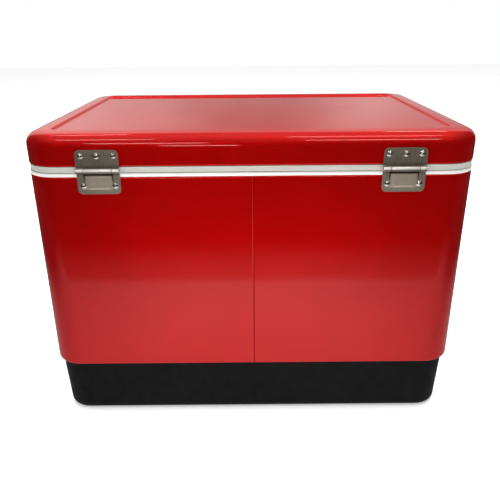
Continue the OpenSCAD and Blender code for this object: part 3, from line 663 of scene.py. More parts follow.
def tub_moulding():
    """White tub: soft fillets, rolled rim, collar over the jacket and a channel that leads to the drain."""
    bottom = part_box("body_liner")[0].z
    t, floor, fillet = 2.5 * MM, bottom + 4 * MM, 6 * MM
    wall, wall_low, tub_r = 44 * MM, 52 * MM, 34 * MM
    rim_r, edge_r = 2 * MM, 0.3 * MM
    top, under = COLLAR_TOP, JACKET_TOP + 0.2 * MM

    def tub(inset, z):
        return (inset, z, max(tub_r - (inset - wall), 8 * MM))

    inside = [(lerp(MIDDLE, wall_low + fillet, i / 24), floor) for i in range(24)]
    inside += arc((wall_low + fillet, floor + fillet), fillet, 270, 180, 7)
    inside += line((wall_low, floor + fillet), (wall, top - rim_r), 12)
    inside += arc((wall - rim_r, top - rim_r), rim_r, 0, 90, 4)[1:]
    collar = line((wall - rim_r, top, tub_r + rim_r), (edge_r, top, CORNER_R - edge_r), 5)[:-1]
    collar += arc((edge_r, top - edge_r), edge_r, 90, 180, 7)
    collar += [(0, under), (20 * MM, under), (wall - t - 4 * MM, under, tub_r + 6 * MM)]
    outside = [(wall - t, under - 4 * MM), (wall_low - t, floor + fillet)]
    outside += arc((wall_low + fillet, floor + fillet), fillet + t, 180, 262, 5)
    outside += [(wall_low + fillet, bottom), (MIDDLE, bottom)]
    points = [tub(*p) for p in inside] + collar + [tub(*p) for p in outside]
    channel_start, channel_run, channel_half, channel_drop = 40 * MM, 50 * MM, 17 * MM, 2.2 * MM

    def bend(v):
        if abs(v.z - floor) < 0.5 * MM and v.x > channel_start:
            along = smooth((v.x - channel_start) / channel_run)
            v.z -= channel_drop * along * smooth(1 - abs(v.y) / channel_half)
        return v

    piece = sweep("tub_moulding", points, 14, 44, bend=bend)
    boolean(piece, drain_cutter(), "DIFFERENCE")
    return stand_for(piece, "body_liner")


def drain_matrix():
    """Takes local Z to the drain's axis, with its origin on the middle plane."""
    return quarter_turn((0, 0, middle_of("drain_gasket").z))


def drain_cutter():
    """Round bar that cuts the drain's way through the tub and the base."""
    radius, start = TUBE_R + 0.1 * MM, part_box("drain_nut")[0].x - 3 * MM
    return lathe("drain_cutter", [(radius, start), (radius, FACE_X + 10 * MM)], drain_matrix(), 48)


def base_moulding():
    """Black base: flat rim, drafted sides, rounded foot, grooved underside and the drain's pad."""
    rim_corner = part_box("base_tray")[1]
    rim, rim_depth, rim_r = rim_corner.z, 14 * MM, 1.2 * MM
    near = FACE_X - rim_corner.x
    far = near + 4 * MM
    edge_r, t = 10 * MM, 3 * MM
    groove_out, groove_in, groove, groove_r = 55 * MM, 63 * MM, 1.2 * MM, 0.4 * MM

    def foot(inset, z):
        return (inset, z, max(CORNER_R - inset, 10 * MM))

    under = [(lerp(MIDDLE, groove_in + 1 * MM, i / 8), 0) for i in range(9)]
    under += [(groove_in, 0.3 * MM), (groove_in - groove_r, groove), (groove_out + groove_r, groove),
              (groove_out, 0.3 * MM), (groove_out - 1 * MM, 0)]
    under += [(lerp(groove_out - 4 * MM, far + edge_r, i / 3), 0) for i in range(4)]
    under += arc((far + edge_r, edge_r), edge_r, 270, 180, 12)[1:]
    sides = line((far, edge_r), (near + 0.12 * MM, rim - 1.6 * MM), 10)
    sides += arc((near + rim_r, rim - rim_r), rim_r, 180, 90, 4)
    sides += [(near + rim_depth, rim), (near + rim_depth, rim - t), (near + t, rim - t), (far + t, edge_r)]
    inside = arc((far + edge_r, edge_r), edge_r - t, 180, 270, 5)[1:] + [(MIDDLE, t)]
    points = [foot(*p) for p in under] + sides + [foot(*p) for p in inside]
    piece = sweep("base_moulding", points, 18, 24)
    pad_x, pad_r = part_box("drain_gasket")[0].x, 21 * MM
    pad = [(pad_r + 1.5 * MM, pad_x - 7 * MM), (pad_r + 0.6 * MM, pad_x - 1.6 * MM)]
    pad += arc((pad_r - rim_r, pad_x - rim_r), rim_r, 0, 90, 4)
    boolean(piece, lathe("drain_pad", pad, drain_matrix(), 72), "UNION")
    boolean(piece, drain_cutter(), "DIFFERENCE")
    return stand_for(piece, "base_tray")


# ---------- fasteners ----------


def dome(head_r, head_h, seat, shank_r=2 * MM, shank=10 * MM):
    """Profile of a domed fastener from the shank's end to the top of its head."""
    sphere = (head_r ** 2 + head_h ** 2) / (2 * head_h)
    edge = math.degrees(math.asin(min(1.0, head_r / sphere)))
    points = [(0.0, -shank), (shank_r, -shank), (shank_r, seat), (head_r - 0.25 * MM, seat)]
    points += [(head_r, seat + 0.2 * MM)]
    points += arc((0.0, seat + head_h - sphere), sphere, 90 - edge, 90, 9)[1:-1]
    return points + [(0.0, seat + head_h)]


def facing(position, outward):
    """Takes local Z to the outward direction at a place on the case."""
    return Matrix.Translation(position) @ Vector(outward).to_track_quat("Z", "Y").to_matrix().to_4x4()


def cross_cutter(matrix, top):
    """Tapered cross that cuts a screw's drive recess."""
    half_length, half_width, depth = 2.1 * MM, 0.5 * MM, 1.6 * MM
    arms = []
    for turn in (45, 135):
        a = math.radians(turn)
        u, w = Vector((math.cos(a), math.sin(a), 0)), Vector((-math.sin(a), math.cos(a), 0))
        vertices = []
        for z, k in ((top + 1 * MM, 1.15), (top - depth, 0.62)):
            for i, j in ((-1, -1), (1, -1), (1, 1), (-1, 1)):
                point = u * i * half_length * k + w * j * half_width * k + Vector((0, 0, z))
                vertices.append(matrix @ point)
        faces = [(0, 1, 2, 3), (7, 6, 5, 4), (0, 4, 5, 1), (1, 5, 6, 2), (2, 6, 7, 3), (3, 7, 4, 0)]
        arms.append(make_piece("cutter_arm", vertices, faces))
    return boolean(arms[0], arms[1], "UNION")


def solids_in(node):
    """Lowest and highest corner of each separate solid of a CAD node."""
    work = copied(frame["nodes"][node].data)
    bmesh.ops.remove_doubles(work, verts=work.verts, dist=2e-6)
    left, found = set(work.verts), []
    while left:
        group, reach = set(), [left.pop()]
        while reach:
            vertex = reach.pop()
            group.add(vertex)
            for edge in vertex.link_edges:
                other = edge.other_vert(vertex)
                if other in left:
                    left.discard(other)
                    reach.append(other)
        found.append([Vector([pick(v.co[i] for v in group) for i in range(3)]) for pick in (min, max)])
    work.free()
    return sorted(found, key=lambda box: tuple(round(c, 4) for c in box[0]))


def heads(node, outward):
    """Where a node's fasteners leave the case, and their head's radius and reach off it."""
    axis = next(i for i in range(3) if abs(outward[i]) > 0.5)
    sign = outward[axis]
    places = []
    for lo, hi in solids_in(node):
        place = (lo + hi) / 2
        place[axis] = sign * (FACE_X if axis == 0 else FACE_Y)
        places.append(place)
    across = (axis + 1) % 3
    return places, (hi[across] - lo[across]) / 2, max(sign * lo[axis], sign * hi[axis]) - abs(place[axis])


def fasteners(name, node, outward, drive=False, seat=SEAT):
    """Rebuilds a node's fasteners where its solids are, with domed heads, as one piece."""
    places, radius, reach = heads(node, outward)
    parts = []
    for k, place in enumerate(places):
        turned = facing(place, outward) @ Matrix.Rotation(0.7 * k + 0.35, 4, "Z")
        part = lathe(name, dome(radius, reach - seat, seat), turned, 36)
        if drive:
            boolean(part, cross_cutter(turned, reach), "DIFFERENCE")
        parts.append(part)
    return stand_for(join(name, parts, 30), node)


def washer_screw(node, outward):
    """A single fastener with a flat flange under a tall dome."""
    (place,), radius, reach = heads(node, outward)
    dome_r, top = 4.5 * MM, SEAT + 0.9 * MM
    profile = [(0.0, -10 * MM), (2 * MM, -10 * MM), (2 * MM, SEAT), (radius - 0.3 * MM, SEAT),
               (radius, SEAT + 0.25 * MM), (radius - 0.35 * MM, top), (0.0, top)]
    base = lathe("washer", profile, facing(place, outward), 40)
    head = lathe("dome", dome(dome_r, reach - top, top, 1 * MM, 0), facing(place, outward), 40)
    return stand_for(boolean(base, head, "UNION", 30), node)


def headed_pin(name, node):
    """Pin with a small peened head at each end, along X."""
    half = extent(node).x / 2
    pin_r, head_r, head_h = 2 * MM, 2.9 * MM, 1.2 * MM
    end = [(0.0, -half), (head_r * 0.55, -half), (head_r * 0.88, -half + 0.25 * MM),
           (head_r, -half + 0.6 * MM), (head_r, -half + head_h), (pin_r, -half + head_h)]
    return stand_for(lathe(name, mirrored(end), quarter_turn(middle_of(node)), 32), node)


# ---------- hinges and latch ----------


def slab(name, points, low, high, place, edge=0.3 * MM, steps=3):
    """A flat plate from an outline, with its edges rounded over. place takes (u, v, w) to the case."""
    work = bmesh.new()
    rings = [[work.verts.new((u, v, w)) for u, v in points] for w in (low, high)]
    work.faces.new(rings[0])
    work.faces.new(rings[1])
    for i in range(len(points)):
        k = (i + 1) % len(points)
        work.faces.new((rings[0][i], rings[0][k], rings[1][k], rings[1][i]))
    bmesh.ops.recalc_face_normals(work, faces=work.faces)
    rims = [e for e in work.edges if e.verts[0].co.z == e.verts[1].co.z]
    bmesh.ops.bevel(work, geom=rims, offset=edge, offset_type="OFFSET", segments=steps, profile=0.5,
                    affect="EDGES", clamp_overlap=True)
    bmesh.ops.transform(work, matrix=place, verts=work.verts)
    bmesh.ops.recalc_face_normals(work, faces=work.faces)
    return finished(name, work)


def on_face(side):
    """Takes (u, v, w) to a long face of the case: u along X, v up, w outward."""
    return Matrix(((1, 0, 0, 0), (0, 0, side, side * FACE_Y), (0, 1, 0, 0), (0, 0, 0, 1)))


def plate(name, x0, x1, z0, z1, place, low_r=6 * MM, high_r=6 * MM, top=SEAT, edge=0.3 * MM):
    """A flat plate with rounded corners, just off a face."""
    corners = [(x0, z0, low_r), (x1, z0, low_r), (x1, z1, high_r), (x0, z1, high_r)]
    return slab(name, outline(corners), FACE_GAP, top, place, edge)


def strip(name, path, thickness, side, x0, x1):
    """Bent sheet: a path of (outward, height) points made thick on its left, extruded from x0 to x1."""
    far = []
    for i, p in enumerate(path):
        a, b = path[max(i - 1, 0)], path[min(i + 1, len(path) - 1)]
        along = Vector((b[0] - a[0], b[1] - a[1])).normalized()
        far.append((p[0] - along.y * thickness, p[1] + along.x * thickness))
    place = Matrix(((0, 0, 1, 0), (side, 0, 0, side * FACE_Y), (0, 1, 0, 0), (0, 0, 0, 1)))
    return slab(name, path + far[::-1], x0, x1, place, 0.25 * MM, 2)


ROLL_DEGREES = 322
ROLL_INNER = KNUCKLE_R - LEAF_T
SHARP = 0.4 * MM  # the corner radius where a leaf meets its knuckle


def rolled(side, x0, x1, centre, upward, stub):
    """Rolled knuckle with the short stretch of sheet that joins it to its leaf."""
    turn = 1 if upward else -1
    path = [(centre[0] - ROLL_INNER, centre[1] + turn * stub)]
    path += [(p[0], centre[1] + turn * (p[1] - centre[1]))
             for p in arc(centre, ROLL_INNER, 180, 180 + ROLL_DEGREES, 36)]
    if upward:
        path.reverse()
    return strip("knuckle", path, LEAF_T, side, x0, x1)


def end_knuckles(leaf, side, middle, inner_x, outer_x, centre, upward, stub):
    """Adds a knuckle at each end of a leaf, from inner_x to outer_x off its middle."""
    for sign in (-1, 1):
        ends = sorted((middle + sign * inner_x, middle + sign * outer_x))
        boolean(leaf, rolled(side, *ends, centre, upward, stub), "UNION")


def hinge_leaf_lid(name, node, middle):
    """Lid leaf: plate with two rounded corners, and one long rolled knuckle."""
    lo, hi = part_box(node)
    half, half_barrel = (hi.x - lo.x) / 2, 18 * MM
    centre = (lo.y + KNUCKLE_R - FACE_Y, HINGE_Z)
    shoulder = HINGE_Z + KNUCKLE_R + 0.4 * MM
    leaf = plate(name, middle - half, middle + half, shoulder, hi.z, on_face(REAR), SHARP)
    knuckle = rolled(REAR, middle - half_barrel, middle + half_barrel, centre, True, 6 * MM)
    return stand_for(boolean(leaf, knuckle, "UNION"), node)


def hinge_leaf_body(name, node, middle):
    """Body leaf: plate with a pressed middle panel, and a rolled knuckle at each end."""
    lo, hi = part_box(node)
    half, half_barrel, gap = (hi.x - lo.x) / 2, 18 * MM, 0.9 * MM
    centre = (lo.y + KNUCKLE_R - FACE_Y, HINGE_Z)
    notch = HINGE_Z - KNUCKLE_R - gap
    leaf = plate(name, middle - half, middle + half, lo.z, notch, on_face(REAR), high_r=SHARP)
    end_knuckles(leaf, REAR, middle, half_barrel + gap, half, centre, False, 7 * MM)
    half_w, half_h, rise, sunk, corner, slope = 16 * MM, 11 * MM, 0.8 * MM, 0.3 * MM, 4 * MM, 4.2 * MM
    pillow = [(slope * i / 8, rise * smooth(i / 8) - sunk * (1 - i / 8)) for i in range(9)]
    pillow += [(5.5 * MM, rise), (7 * MM, rise)]
    profile = [(0, -1 * MM, corner)]
    profile += [(inset, height, max(corner - inset * 0.4, 2 * MM)) for inset, height in pillow]
    panel = sweep("panel", profile, 8, 8, (2 * half_w, 2 * half_h, corner))
    panel.data.transform(Matrix.Translation((middle, 0, EMBOSS_Z)) @ on_face(REAR)
                         @ Matrix.Translation((0, 0, SEAT)))
    panel.data.flip_normals()
    return stand_for(boolean(leaf, panel, "UNION"), node)


def latch_plate(name, node):
    """Latch plate on the lid, with a rolled knuckle at each end."""
    lo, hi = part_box(node)
    half, half_barrel, gap = (hi.x - lo.x) / 2, 14 * MM, 0.4 * MM
    centre = (-hi.y + KNUCKLE_R - FACE_Y, LATCH_Z)
    leaf = plate(name, -half, half, LATCH_Z + KNUCKLE_R + 0.8 * MM, hi.z, on_face(FRONT), SHARP)
    end_knuckles(leaf, FRONT, 0, half_barrel + gap, half, centre, True, 6 * MM)
    return stand_for(leaf, node)


def latch_strap(name, node):
    """Hasp: rolled knuckle, strap, snapping lip and a curved tab to pull."""
    half, half_barrel, pin_head_r = extent(node).x / 2, 14 * MM, 2.9 * MM
    centre = (-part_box("latch_pin")[0].y - pin_head_r - FACE_Y, LATCH_Z)
    inner = centre[0] + ROLL_INNER
    foot = LATCH_Z - 46 * MM
    roll = [(2 * centre[0] - x, z) for x, z in arc(centre, ROLL_INNER, 180, 180 - ROLL_DEGREES, 36)]
    path = [(inner, LATCH_Z - 6.5 * MM)] + roll
    knuckle = strip("knuckle", path, -LEAF_T, FRONT, -half_barrel, half_barrel)
    tab_r = 10 * MM
    tab = [(inner, LATCH_Z - 5.5 * MM), (inner, foot + 0.01 * MM)]
    tab += arc((inner + LEAF_T + tab_r, foot), tab_r + LEAF_T, 186, 242, 8)
    strap = strip(name, tab, -LEAF_T, FRONT, -half, half)
    boolean(strap, knuckle, "UNION")
    ridge_rise, lip_gap, lip_half = 1.5 * MM, 0.35 * MM, half - 3 * MM
    lip = 2 * ROLL_INNER - ridge_rise - lip_gap
    lip_outline = outline([(-lip_half, foot, 0), (lip_half, foot, 0), (lip_half, foot + LEAF_T, 0.5 * MM),
                           (-lip_half, foot + LEAF_T, 0.5 * MM)], 3)
    hook = slab("lip", lip_outline, inner - lip, inner + LEAF_T - 0.3 * MM, on_face(FRONT))
    return stand_for(boolean(strap, hook, "UNION"), node)


def latch_catch(name, node):
    """Keeper: plate with the rounded ridge that the hasp's lip snaps over."""
    lo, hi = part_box(node)
    half, ridge_r, ridge_half = (hi.x - lo.x) / 2, 1.5 * MM, 10 * MM
    base = plate(name, -half, half, lo.z, hi.z, on_face(FRONT))
    end = arc((0, -ridge_half + ridge_r), ridge_r, -90, 0, 6)
    ridge = lathe("ridge", mirrored(end), quarter_turn((0, -FACE_Y - SEAT, RIDGE_Z)), 32)
    return stand_for(boolean(base, ridge, "UNION"), node)


# ---------- carry handles ----------

BRACKET_SEAT = FACE_GAP + 2 * MM


def bracket(name, node, side):
    """Handle bracket: screwed plate with a bored lug."""
    centre, (_, half_y, half_z) = middle_of(node), extent(node) / 2
    place = Matrix(((0, 0, side, side * FACE_X), (1, 0, 0, centre.y), (0, 1, 0, centre.z), (0, 0, 0, 1)))
    base = plate(name, -half_y, half_y, -half_z, half_z, place, top=BRACKET_SEAT, edge=0.4 * MM)
    lug_r, lug_half, root = 8 * MM, 7.5 * MM, FACE_GAP + 0.5 * MM
    shape = [(root, -lug_r)] + arc((PIVOT_X - FACE_X, 0), lug_r, -90, 90, 24) + [(root, lug_r)]
    across = Matrix(((side, 0, 0, side * FACE_X), (0, 0, 1, centre.y), (0, 1, 0, centre.z), (0, 0, 0, 1)))
    boolean(base, slab("lug", shape, -lug_half, lug_half, across, 0.8 * MM), "UNION")
    bore_r, bore_half = ROD_R + 0.08 * MM, 20 * MM
    bore = lathe("bore", [(bore_r, -bore_half), (bore_r, bore_half)],
                 quarter_turn((side * PIVOT_X, centre.y, centre.z), "X"), 48)
    return stand_for(boolean(base, bore, "DIFFERENCE"), node)


def tube(name, path, radius):
    """A round bar along a path, with its ends rounded over."""
    path, steps = [Vector(p) for p in path], 24
    first, last = (path[1] - path[0]).normalized(), (path[-1] - path[-2]).normalized()
    side = first.orthogonal().normalized()
    sections = []
    for i, p in enumerate(path):
        along = (path[min(i + 1, len(path) - 1)] - path[max(i - 1, 0)]).normalized()
        side = (side - along * side.dot(along)).normalized()
        sections.append((p, side, along.cross(side), radius))
    blunt = 0.8 * MM
    start, end = sections[0], sections[-1]
    sections = [(*start[:3], radius - blunt), (start[0] + first * blunt, *start[1:]), *sections[1:-1],
                (end[0] - last * blunt, *end[1:]), (*end[:3], radius - blunt)]
    turns = [2 * math.pi * j / steps for j in range(steps)]
    rings = [[centre + u * (r * math.cos(a)) + w * (r * math.sin(a)) for a in turns]
             for centre, u, w, r in sections]
    return skin(name, rings)


def bail(name, node, side):
    """Bent rod that the handle swings on."""
    lo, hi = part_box(node)
    knee, bend, low = 5 * MM, 10 * MM, lo.z + ROD_R
    arm = PIVOT_Y - 7.5 * MM - 2 * MM - ROD_R
    half = [(hi.y, PIVOT_Z), (arm + knee, PIVOT_Z)]
    half += arc((arm + knee, PIVOT_Z - knee), knee, 90, 180, 8)[1:]
    half += [(arm, lerp(PIVOT_Z - knee, low + bend, i / 4)) for i in range(1, 4)]
    half += arc((arm - bend, low + bend), bend, 0, -90, 12)
    half += [(arm - bend - 6 * MM, low)]
    points = [(side * PIVOT_X, y, z) for z, y in mirrored([(z, y) for y, z in half])]
    return stand_for(tube(name, points, ROD_R), node)


def grip(name, node, side):
    """Moulded grip: oval in section towards the fingers, four finger hollows below and two end collars."""
    _, half, radius = extent(node) / 2
    bore, rounding, body_r, fingers = ROD_R + 0.05 * MM, 2.2 * MM, radius - 1.4 * MM, 4
    swell, hollow_depth, seam_height, seam_width = 1.2 * MM, 1.9 * MM, 0.12 * MM, 0.0015
    end = [(bore, -half + 0.6 * MM), (bore + 0.8 * MM, -half)]
    end += arc((body_r - rounding, -half + rounding), rounding, -90, 0, 6)
    profile = end + line((body_r, -half + rounding), (body_r, half - rounding), 72)[:-1]
    profile += [(r, -h) for r, h in reversed(end)]

    def wave(angle, r, height):
        if r < radius - 1.5 * MM:
            return r
        along = max(0.0, 1 - (height / half) ** 8)
        down = 0.5 - 0.5 * math.sin(angle)
        hollow = 0.5 - 0.5 * math.cos(2 * math.pi * fingers * (height + half) / (2 * half))
        seam = seam_height * math.exp(-((abs(math.cos(angle)) - 1) / seam_width) ** 2)
        return r + (swell - hollow_depth * hollow * (0.25 + 0.75 * down) + seam) * along

    matrix = quarter_turn((side * PIVOT_X, 0, middle_of(node).z), "X")
    return stand_for(lathe(name, profile, matrix, 64, wave=wave, closed=True), node)


# ---------- drain ----------


def drain_spout(name, node):
    """Spout: bored tube with a flange outside and a coarse thread for the cap."""
    lo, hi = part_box(node)
    bore_r, flange_r, round_r, pitch, ridge_h = 7 * MM, (hi.z - lo.z) / 2, 0.8 * MM, 4 * MM, 0.24 * MM
    x1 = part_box("drain_gasket")[1].x
    x2 = x1 + 3 * MM
    profile = [(bore_r, lo.x + 0.5 * MM), (bore_r + 0.5 * MM, lo.x), (TUBE_R - 0.5 * MM, lo.x)]
    profile += [(TUBE_R, lo.x + 0.5 * MM)] + line((TUBE_R, lo.x), (TUBE_R, x1), 6)
    profile += [(flange_r - 0.3 * MM, x1), (flange_r, x1 + 0.3 * MM), (flange_r, x2 - round_r)]
    profile += arc((flange_r - round_r, x2 - round_r), round_r, 0, 90, 3)[1:]
    profile += [(TUBE_R + 0.3 * MM, x2), (TUBE_R, x2 + 0.3 * MM), (TUBE_R, x2 + 0.5 * MM)]
    profile += line((TUBE_R, x2 + 0.5 * MM), (TUBE_R, hi.x - 0.8 * MM), 56)
    profile += [(TUBE_R - 0.5 * MM, hi.x), (bore_r + 0.4 * MM, hi.x), (bore_r, hi.x - 0.4 * MM)]
    profile += line((bore_r, hi.x), (bore_r, lo.x), 4)[:-1]

    def thread(angle, r, height):
        if abs(r - TUBE_R) > 1e-6 or height < x2 + 0.9 * MM or height > hi.x - 1.2 * MM:
            return r
        phase = (height - x2) / pitch - angle / (2 * math.pi)
        return r + ridge_h * math.exp(-((phase - math.floor(phase) - 0.5) / 0.16) ** 2)

    return stand_for(lathe(name, profile, drain_matrix(), 72, wave=thread, closed=True), node)


def drain_gasket(name, node):
    """Rubber ring squeezed under the spout's flange, with a bulged edge."""
    low, high = (corner.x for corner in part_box(node))
    low, high = low + 0.01 * MM, high - 0.01 * MM
    inner, bulge = TUBE_R + 0.13 * MM, (high - low) / 2
    edge = extent("drain_spout").z / 2 - 1 * MM - bulge
    ring = [(inner, low), (inner, high)] + arc((edge, low + bulge), bulge, 90, -90, 6)
    return stand_for(lathe(name, ring, drain_matrix(), 64, closed=True), node)


def drain_nut(name, node):
    """Hexagonal nut with chamfered corners."""
    lo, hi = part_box(node)
    corner_r, chamfer_r, bore = 13.45 * MM, 12.3 * MM, TUBE_R + 0.12 * MM
    flat_r = 13.5 * MM * math.cos(math.radians(30))
    half = [(bore, 0.4 * MM), (TUBE_R + 0.5 * MM, 0), (chamfer_r, 0), (corner_r, 0.6 * MM)]
    profile = [(r, lo.x + h) for r, h in half] + [(r, hi.x - h) for r, h in reversed(half)]

    def hexagon(angle, r, height):
        if r < 10.5 * MM:
            return r
        turned = (angle + math.radians(30)) % math.radians(60) - math.radians(30)
        return min(r, flat_r / math.cos(turned))

    return stand_for(lathe(name, profile, drain_matrix(), 96, wave=hexagon, closed=True), node)


def drain_seal(name, node):
    """Soft disc inside the cap."""
    lo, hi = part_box(node)
    radius, edge = (hi.z - lo.z) / 2, 0.4 * MM
    half = [(0.0, 0), (radius - edge, 0), (radius, edge)]
    profile = [(r, lo.x + h) for r, h in half] + [(r, hi.x - h) for r, h in reversed(half)]
    return stand_for(lathe(name, profile, drain_matrix(), 56), node)


def drain_cap(name, node):
    """Cap with grip ribs, a rounded rim and a sunk end."""
    lo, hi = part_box(node)
    radius, rim_r, sunk, bore, ribs = (hi.z - lo.z) / 2, 2 * MM, 0.7 * MM, TUBE_R + 0.3 * MM, 24
    hollow_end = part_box("drain_cap_seal")[1].x + 0.1 * MM
    cap = [(0.0, hollow_end), (bore, hollow_end), (bore, lo.x + 0.5 * MM), (bore + 0.5 * MM, lo.x),
           (radius - 0.8 * MM, lo.x), (radius - 0.05 * MM, lo.x + 0.8 * MM), (radius, lo.x + 0.9 * MM)]
    cap += line((radius, lo.x + 0.9 * MM), (radius, hi.x - 2.4 * MM), 8)
    cap += arc((radius - rim_r, hi.x - rim_r), rim_r, 0, 90, 6)[1:]
    cap += [(radius - 3.2 * MM, hi.x), (radius - 3.7 * MM, hi.x - sunk), (radius * 0.4, hi.x - sunk)]
    cap += [(0.0, hi.x - sunk)]

    def ribbed(angle, r, height):
        if r < radius - 0.9 * MM or height > hi.x - 1.0 * MM:
            return r
        return r - 0.85 * MM * (1 - (0.5 - 0.5 * math.cos(angle * ribs)) ** 0.6)

    return stand_for(lathe(name, cap, drain_matrix(), 192, wave=ribbed), node)


# ---------- all pieces ----------

lid_skin()
lid_liner_moulding()
jacket_skin()
tub_moulding()
base_moulding()

for where in ("left", "right"):
    hinge_middle = middle_of(f"hinge_{where}_lid_leaf").x
    hinge_leaf_lid(f"hinge_{where}_upper_leaf", f"hinge_{where}_lid_leaf", hinge_middle)
    hinge_leaf_body(f"hinge_{where}_lower_leaf", f"hinge_{where}_body_leaf", hinge_middle)
    headed_pin(f"hinge_{where}_peened_pin", f"hinge_{where}_pin")
    fasteners(f"hinge_{where}_upper_rivets", f"hinge_{where}_lid_rivets", (0, REAR, 0))
    fasteners(f"hinge_{where}_lower_rivets", f"hinge_{where}_body_rivets", (0, REAR, 0))
    washer_screw(f"hinge_{where}_lid_screw", (0, REAR, 0))

latch_plate("latch_lid_plate_pressing", "latch_lid_plate")
fasteners("latch_plate_rivets", "latch_lid_rivets", (0, FRONT, 0))
headed_pin("latch_peened_pin", "latch_pin")
latch_strap("latch_hasp_pressing", "latch_hasp")
latch_catch("latch_keeper_pressing", "latch_keeper")
fasteners("latch_catch_screws", "latch_keeper_screws", (0, FRONT, 0), drive=True)

stand_for(softened("bottle_opener_casting", "bottle_opener", 0.6 * MM, 3), "bottle_opener")
fasteners("opener_cross_screws", "bottle_opener_screws", (0, FRONT, 0), drive=True, seat=2.8 * MM)

for where, side in (("left", -1), ("right", 1)):
    for end in ("front", "rear"):
        bracket(f"handle_{where}_{end}_lug", f"handle_{where}_{end}_bracket", side)
    fasteners(f"handle_{where}_cross_screws", f"handle_{where}_screws", (side, 0, 0), True, BRACKET_SEAT)
    bail(f"handle_{where}_rod", f"handle_{where}_bail", side)
    grip(f"handle_{where}_moulded_grip", f"handle_{where}_grip", side)

drain_spout("drain_spout_moulding", "drain_spout")
drain_gasket("drain_gasket_ring", "drain_gasket")
drain_nut("drain_nut_moulding", "drain_nut")
drain_seal("drain_seal_disc", "drain_cap_seal")
drain_cap("drain_cap_moulding", "drain_cap")

for hidden_node in ("lid_foam", "body_foam"):
    filling = frame["nodes"][hidden_node].data.materials
    filling.clear()
    filling.append(MATERIALS[SLOT_OF[hidden_node]])


# ---------- floor, light and camera ----------


def floor_paper():
    """Pale matt studio floor."""
    n = Nodes("floor_paper")
    colour = n.mix(n.ramp(n.noise(3, 3, 0.5), 0.3, 0.7), (0.91, 0.91, 0.91), (0.93, 0.93, 0.93))
    rough = n.ramp(n.noise(8, 2, 0.5), 0.3, 0.7, 0.85, 0.95)
    seen = n.node("ShaderNodeLightPath").outputs["Is Camera Ray"]
    return n.finish(colour, rough, Emission_Strength=n.times(seen, 0.30), Emission_Color=(1, 1, 1),
                    Specular_IOR_Level=0.1)


def emissive(n, strength, colour):
    """Turns a node set into an emission material."""
    emitter = n.node("ShaderNodeEmission", {"Color": colour, "Strength": strength})
    n.feed(emitter.outputs["Emission"], n.tree.nodes["Material Output"].inputs["Surface"])
    n.tree.nodes.remove(n.shader)
    return n.owner


def backdrop_glow():
    """Softly uneven light wall, dimmer low in the middle and brighter up high."""
    n = Nodes("backdrop_glow")
    across = n.along("X")
    away = n.times(n.ramp(n.size_of(across), 0.05, 0.9, 0.55, 1.0), n.ramp(across, -1.3, -0.5, 0.62, 1.0))
    cloud = n.ramp(n.noise(1.1, 3, 0.5), 0.30, 0.70, 0.80, 1.12)
    lit = n.maths("ADD", n.times(away, cloud, 0.70), n.ramp(n.along("Y"), -1.1, 0.3, 0.0, 0.30))
    return emissive(n, lit, (1.0, 0.95, 0.92))


def mirrored_floor():
    """Floor as glossy surfaces see it: pale near the chest, dark further out."""
    n = Nodes("mirrored_floor")
    out_x, out_y = n.size_of(n.along("X")), n.size_of(n.along("Y"))
    edge = n.times(n.ramp(out_y, 0.655, 0.71, 1.0, 0.0), 0.55)
    fade = n.times(n.ramp(out_y, 0.64, 0.95, 1.0, 0.0), 0.45)
    ahead = n.times(n.maths("ADD", edge, fade), n.ramp(out_x, 0.10, 0.50, 1.0, 0.50),
                    n.ramp(out_x, 0.50, 0.92, 1.0, 0.06), n.ramp(out_y, 0.22, 0.58, 0.70, 1.0))
    beside = n.times(n.ramp(out_x, 0.60, 0.95, 0.30, 0.0), n.ramp(out_y, 0.16, 0.30, 1.0, 0.0))
    lit = n.maths("ADD", n.maths("MAXIMUM", ahead, beside), 0.02)
    return emissive(n, lit, (1.0, 0.985, 0.97))


def studio_world():
    """White room, dimmer to matt surfaces. Glossy ones see a bright ceiling over dark walls."""
    world = bpy.data.worlds.new("studio")
    bpy.context.scene.world = world
    n = Nodes("studio", world)
    rays = n.node("ShaderNodeLightPath").outputs
    seen = n.tree.nodes["Background"]
    n.feed((1, 1, 1), seen.inputs["Color"])
    n.feed(n.maths("SUBTRACT", 1.0, n.times(rays["Is Diffuse Ray"], 0.34)), seen.inputs["Strength"])
    direction = n.node("ShaderNodeTexCoord").outputs["Generated"]
    up = n.node("ShaderNodeSeparateXYZ", {"Vector": direction}).outputs["Z"]
    ceiling = n.maths("ADD", n.times(n.maths("POWER", up, 3.0), 0.50), 0.03)
    mirrored = n.node("ShaderNodeBackground", {"Color": (1.0, 0.95, 0.90),
                                               "Strength": n.maths("MAXIMUM", ceiling, 0.0)})
    choose = n.node("ShaderNodeMixShader", {0: rays["Is Glossy Ray"], 1: seen.outputs[0],
                                            2: mirrored.outputs[0]})
    n.feed(choose.outputs[0], n.tree.nodes["World Output"].inputs["Surface"])


def card(name, width, depth, material):
    """A flat stage card, facing up until it is turned."""
    mesh = bpy.data.meshes.new(name)
    x, y = width / 2, depth / 2
    mesh.from_pydata([(-x, -y, 0), (x, -y, 0), (x, y, 0), (-x, y, 0)], [], [(0, 1, 2, 3)])
    mesh.materials.append(material)
    flat = in_scene(name, mesh)
    return flat


def only_in_reflections(flat):
    for ray in ("camera", "diffuse", "transmission", "volume_scatter", "shadow"):
        setattr(flat, "visible_" + ray, False)


def soft_box(name, place, target, size, power):
    """Rectangular area light that looks at a target."""
    light = bpy.data.lights.new(name, "AREA")
    light.shape = "RECTANGLE"
    light.size, light.size_y = size
    light.energy = power
    lamp = in_scene(name, light)
    lamp.location = place
    lamp.rotation_euler = (Vector(target) - Vector(place)).to_track_quat("-Z", "Y").to_euler()
    lamp.visible_camera = False
    lamp.visible_glossy = False


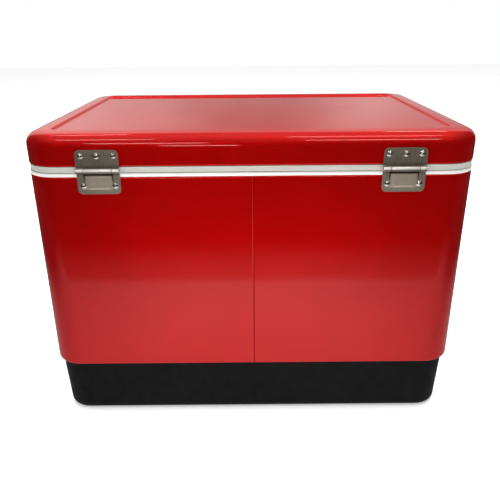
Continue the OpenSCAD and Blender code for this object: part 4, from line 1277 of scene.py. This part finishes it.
def strip_light(name, elevation, x_from, x_to):
    """Long bright card parallel to X, seen from the lid's rear edge at an elevation above +Y."""
    a, distance, width, strength = math.radians(elevation), 1.6, 0.07, 12.0
    flat = card(name, x_to - x_from, width, emissive(Nodes(name), strength, (1.0, 0.97, 0.94)))
    flat.location = ((x_from + x_to) / 2, FACE_Y + distance * math.cos(a), LID_TOP + distance * math.sin(a))
    flat.rotation_euler = (a - math.radians(90), 0, 0)
    only_in_reflections(flat)


floor = card("floor", 14, 14, floor_paper())
floor.visible_glossy = False
studio_world()

# Light wall beyond the chest's front, which washes the lid's flat panel seen from behind.
backdrop = card("bright_backdrop", 6.0, 3.2, backdrop_glow())
backdrop.location = (0, -2.4, 2.05)
backdrop.rotation_euler = (math.radians(90), 0, 0)
only_in_reflections(backdrop)

sheen_floor = card("mirrored_floor", 12, 12, mirrored_floor())
sheen_floor.location = (0, 0, -0.002)
only_in_reflections(sheen_floor)

for place, (elevation, start, end) in enumerate((
        (113, 0.50, 0.84), (58, 0.39, 0.82), (24, 0.17, 0.68), (1, 0.04, 0.37),
        (128, -0.81, -0.55), (73, -0.81, -0.16), (40, -0.80, -0.23))):
    strip_light(f"strip_{place}", elevation, start, end)

soft_box("key", (1.5, 1.9, 2.5), (0, 0, 0.2), (1.6, 1.2), 8)
soft_box("fill", (-1.8, 1.6, 2.2), (0, 0, 0.2), (1.6, 1.2), 6)
soft_box("top", (0, -0.3, 3.0), (0, 0, 0.2), (2.4, 2.0), 150)
soft_box("bounce", (0, 0.33, 0.28), (0, 0, 0.28), (0.34, 0.03), 0.14)

# The photograph's viewing angle: a 40 mm lens 0.69 m behind the chest, a little above it.
PITCH, YAW, ROLL = 0.3891, -0.0005, -0.0081
EYE = (0.0028, 0.9034, 0.5503)
camera = bpy.data.cameras.new("camera")
camera.sensor_width = 36
camera.lens = 40.0
camera.clip_start = 0.02
eye = in_scene("camera", camera)
forward = Vector((math.sin(YAW) * math.cos(PITCH), -math.cos(YAW) * math.cos(PITCH), -math.sin(PITCH)))
level_right = forward.cross(Vector((0, 0, 1))).normalized()
level_up = level_right.cross(forward)
right = level_right * math.cos(ROLL) + level_up * math.sin(ROLL)
up = level_up * math.cos(ROLL) - level_right * math.sin(ROLL)
eye.matrix_world = Matrix.Translation(EYE) @ Matrix((right, up, -forward)).transposed().to_4x4()
bpy.context.scene.camera = eye
bpy.context.scene.view_settings.view_transform = "Standard"
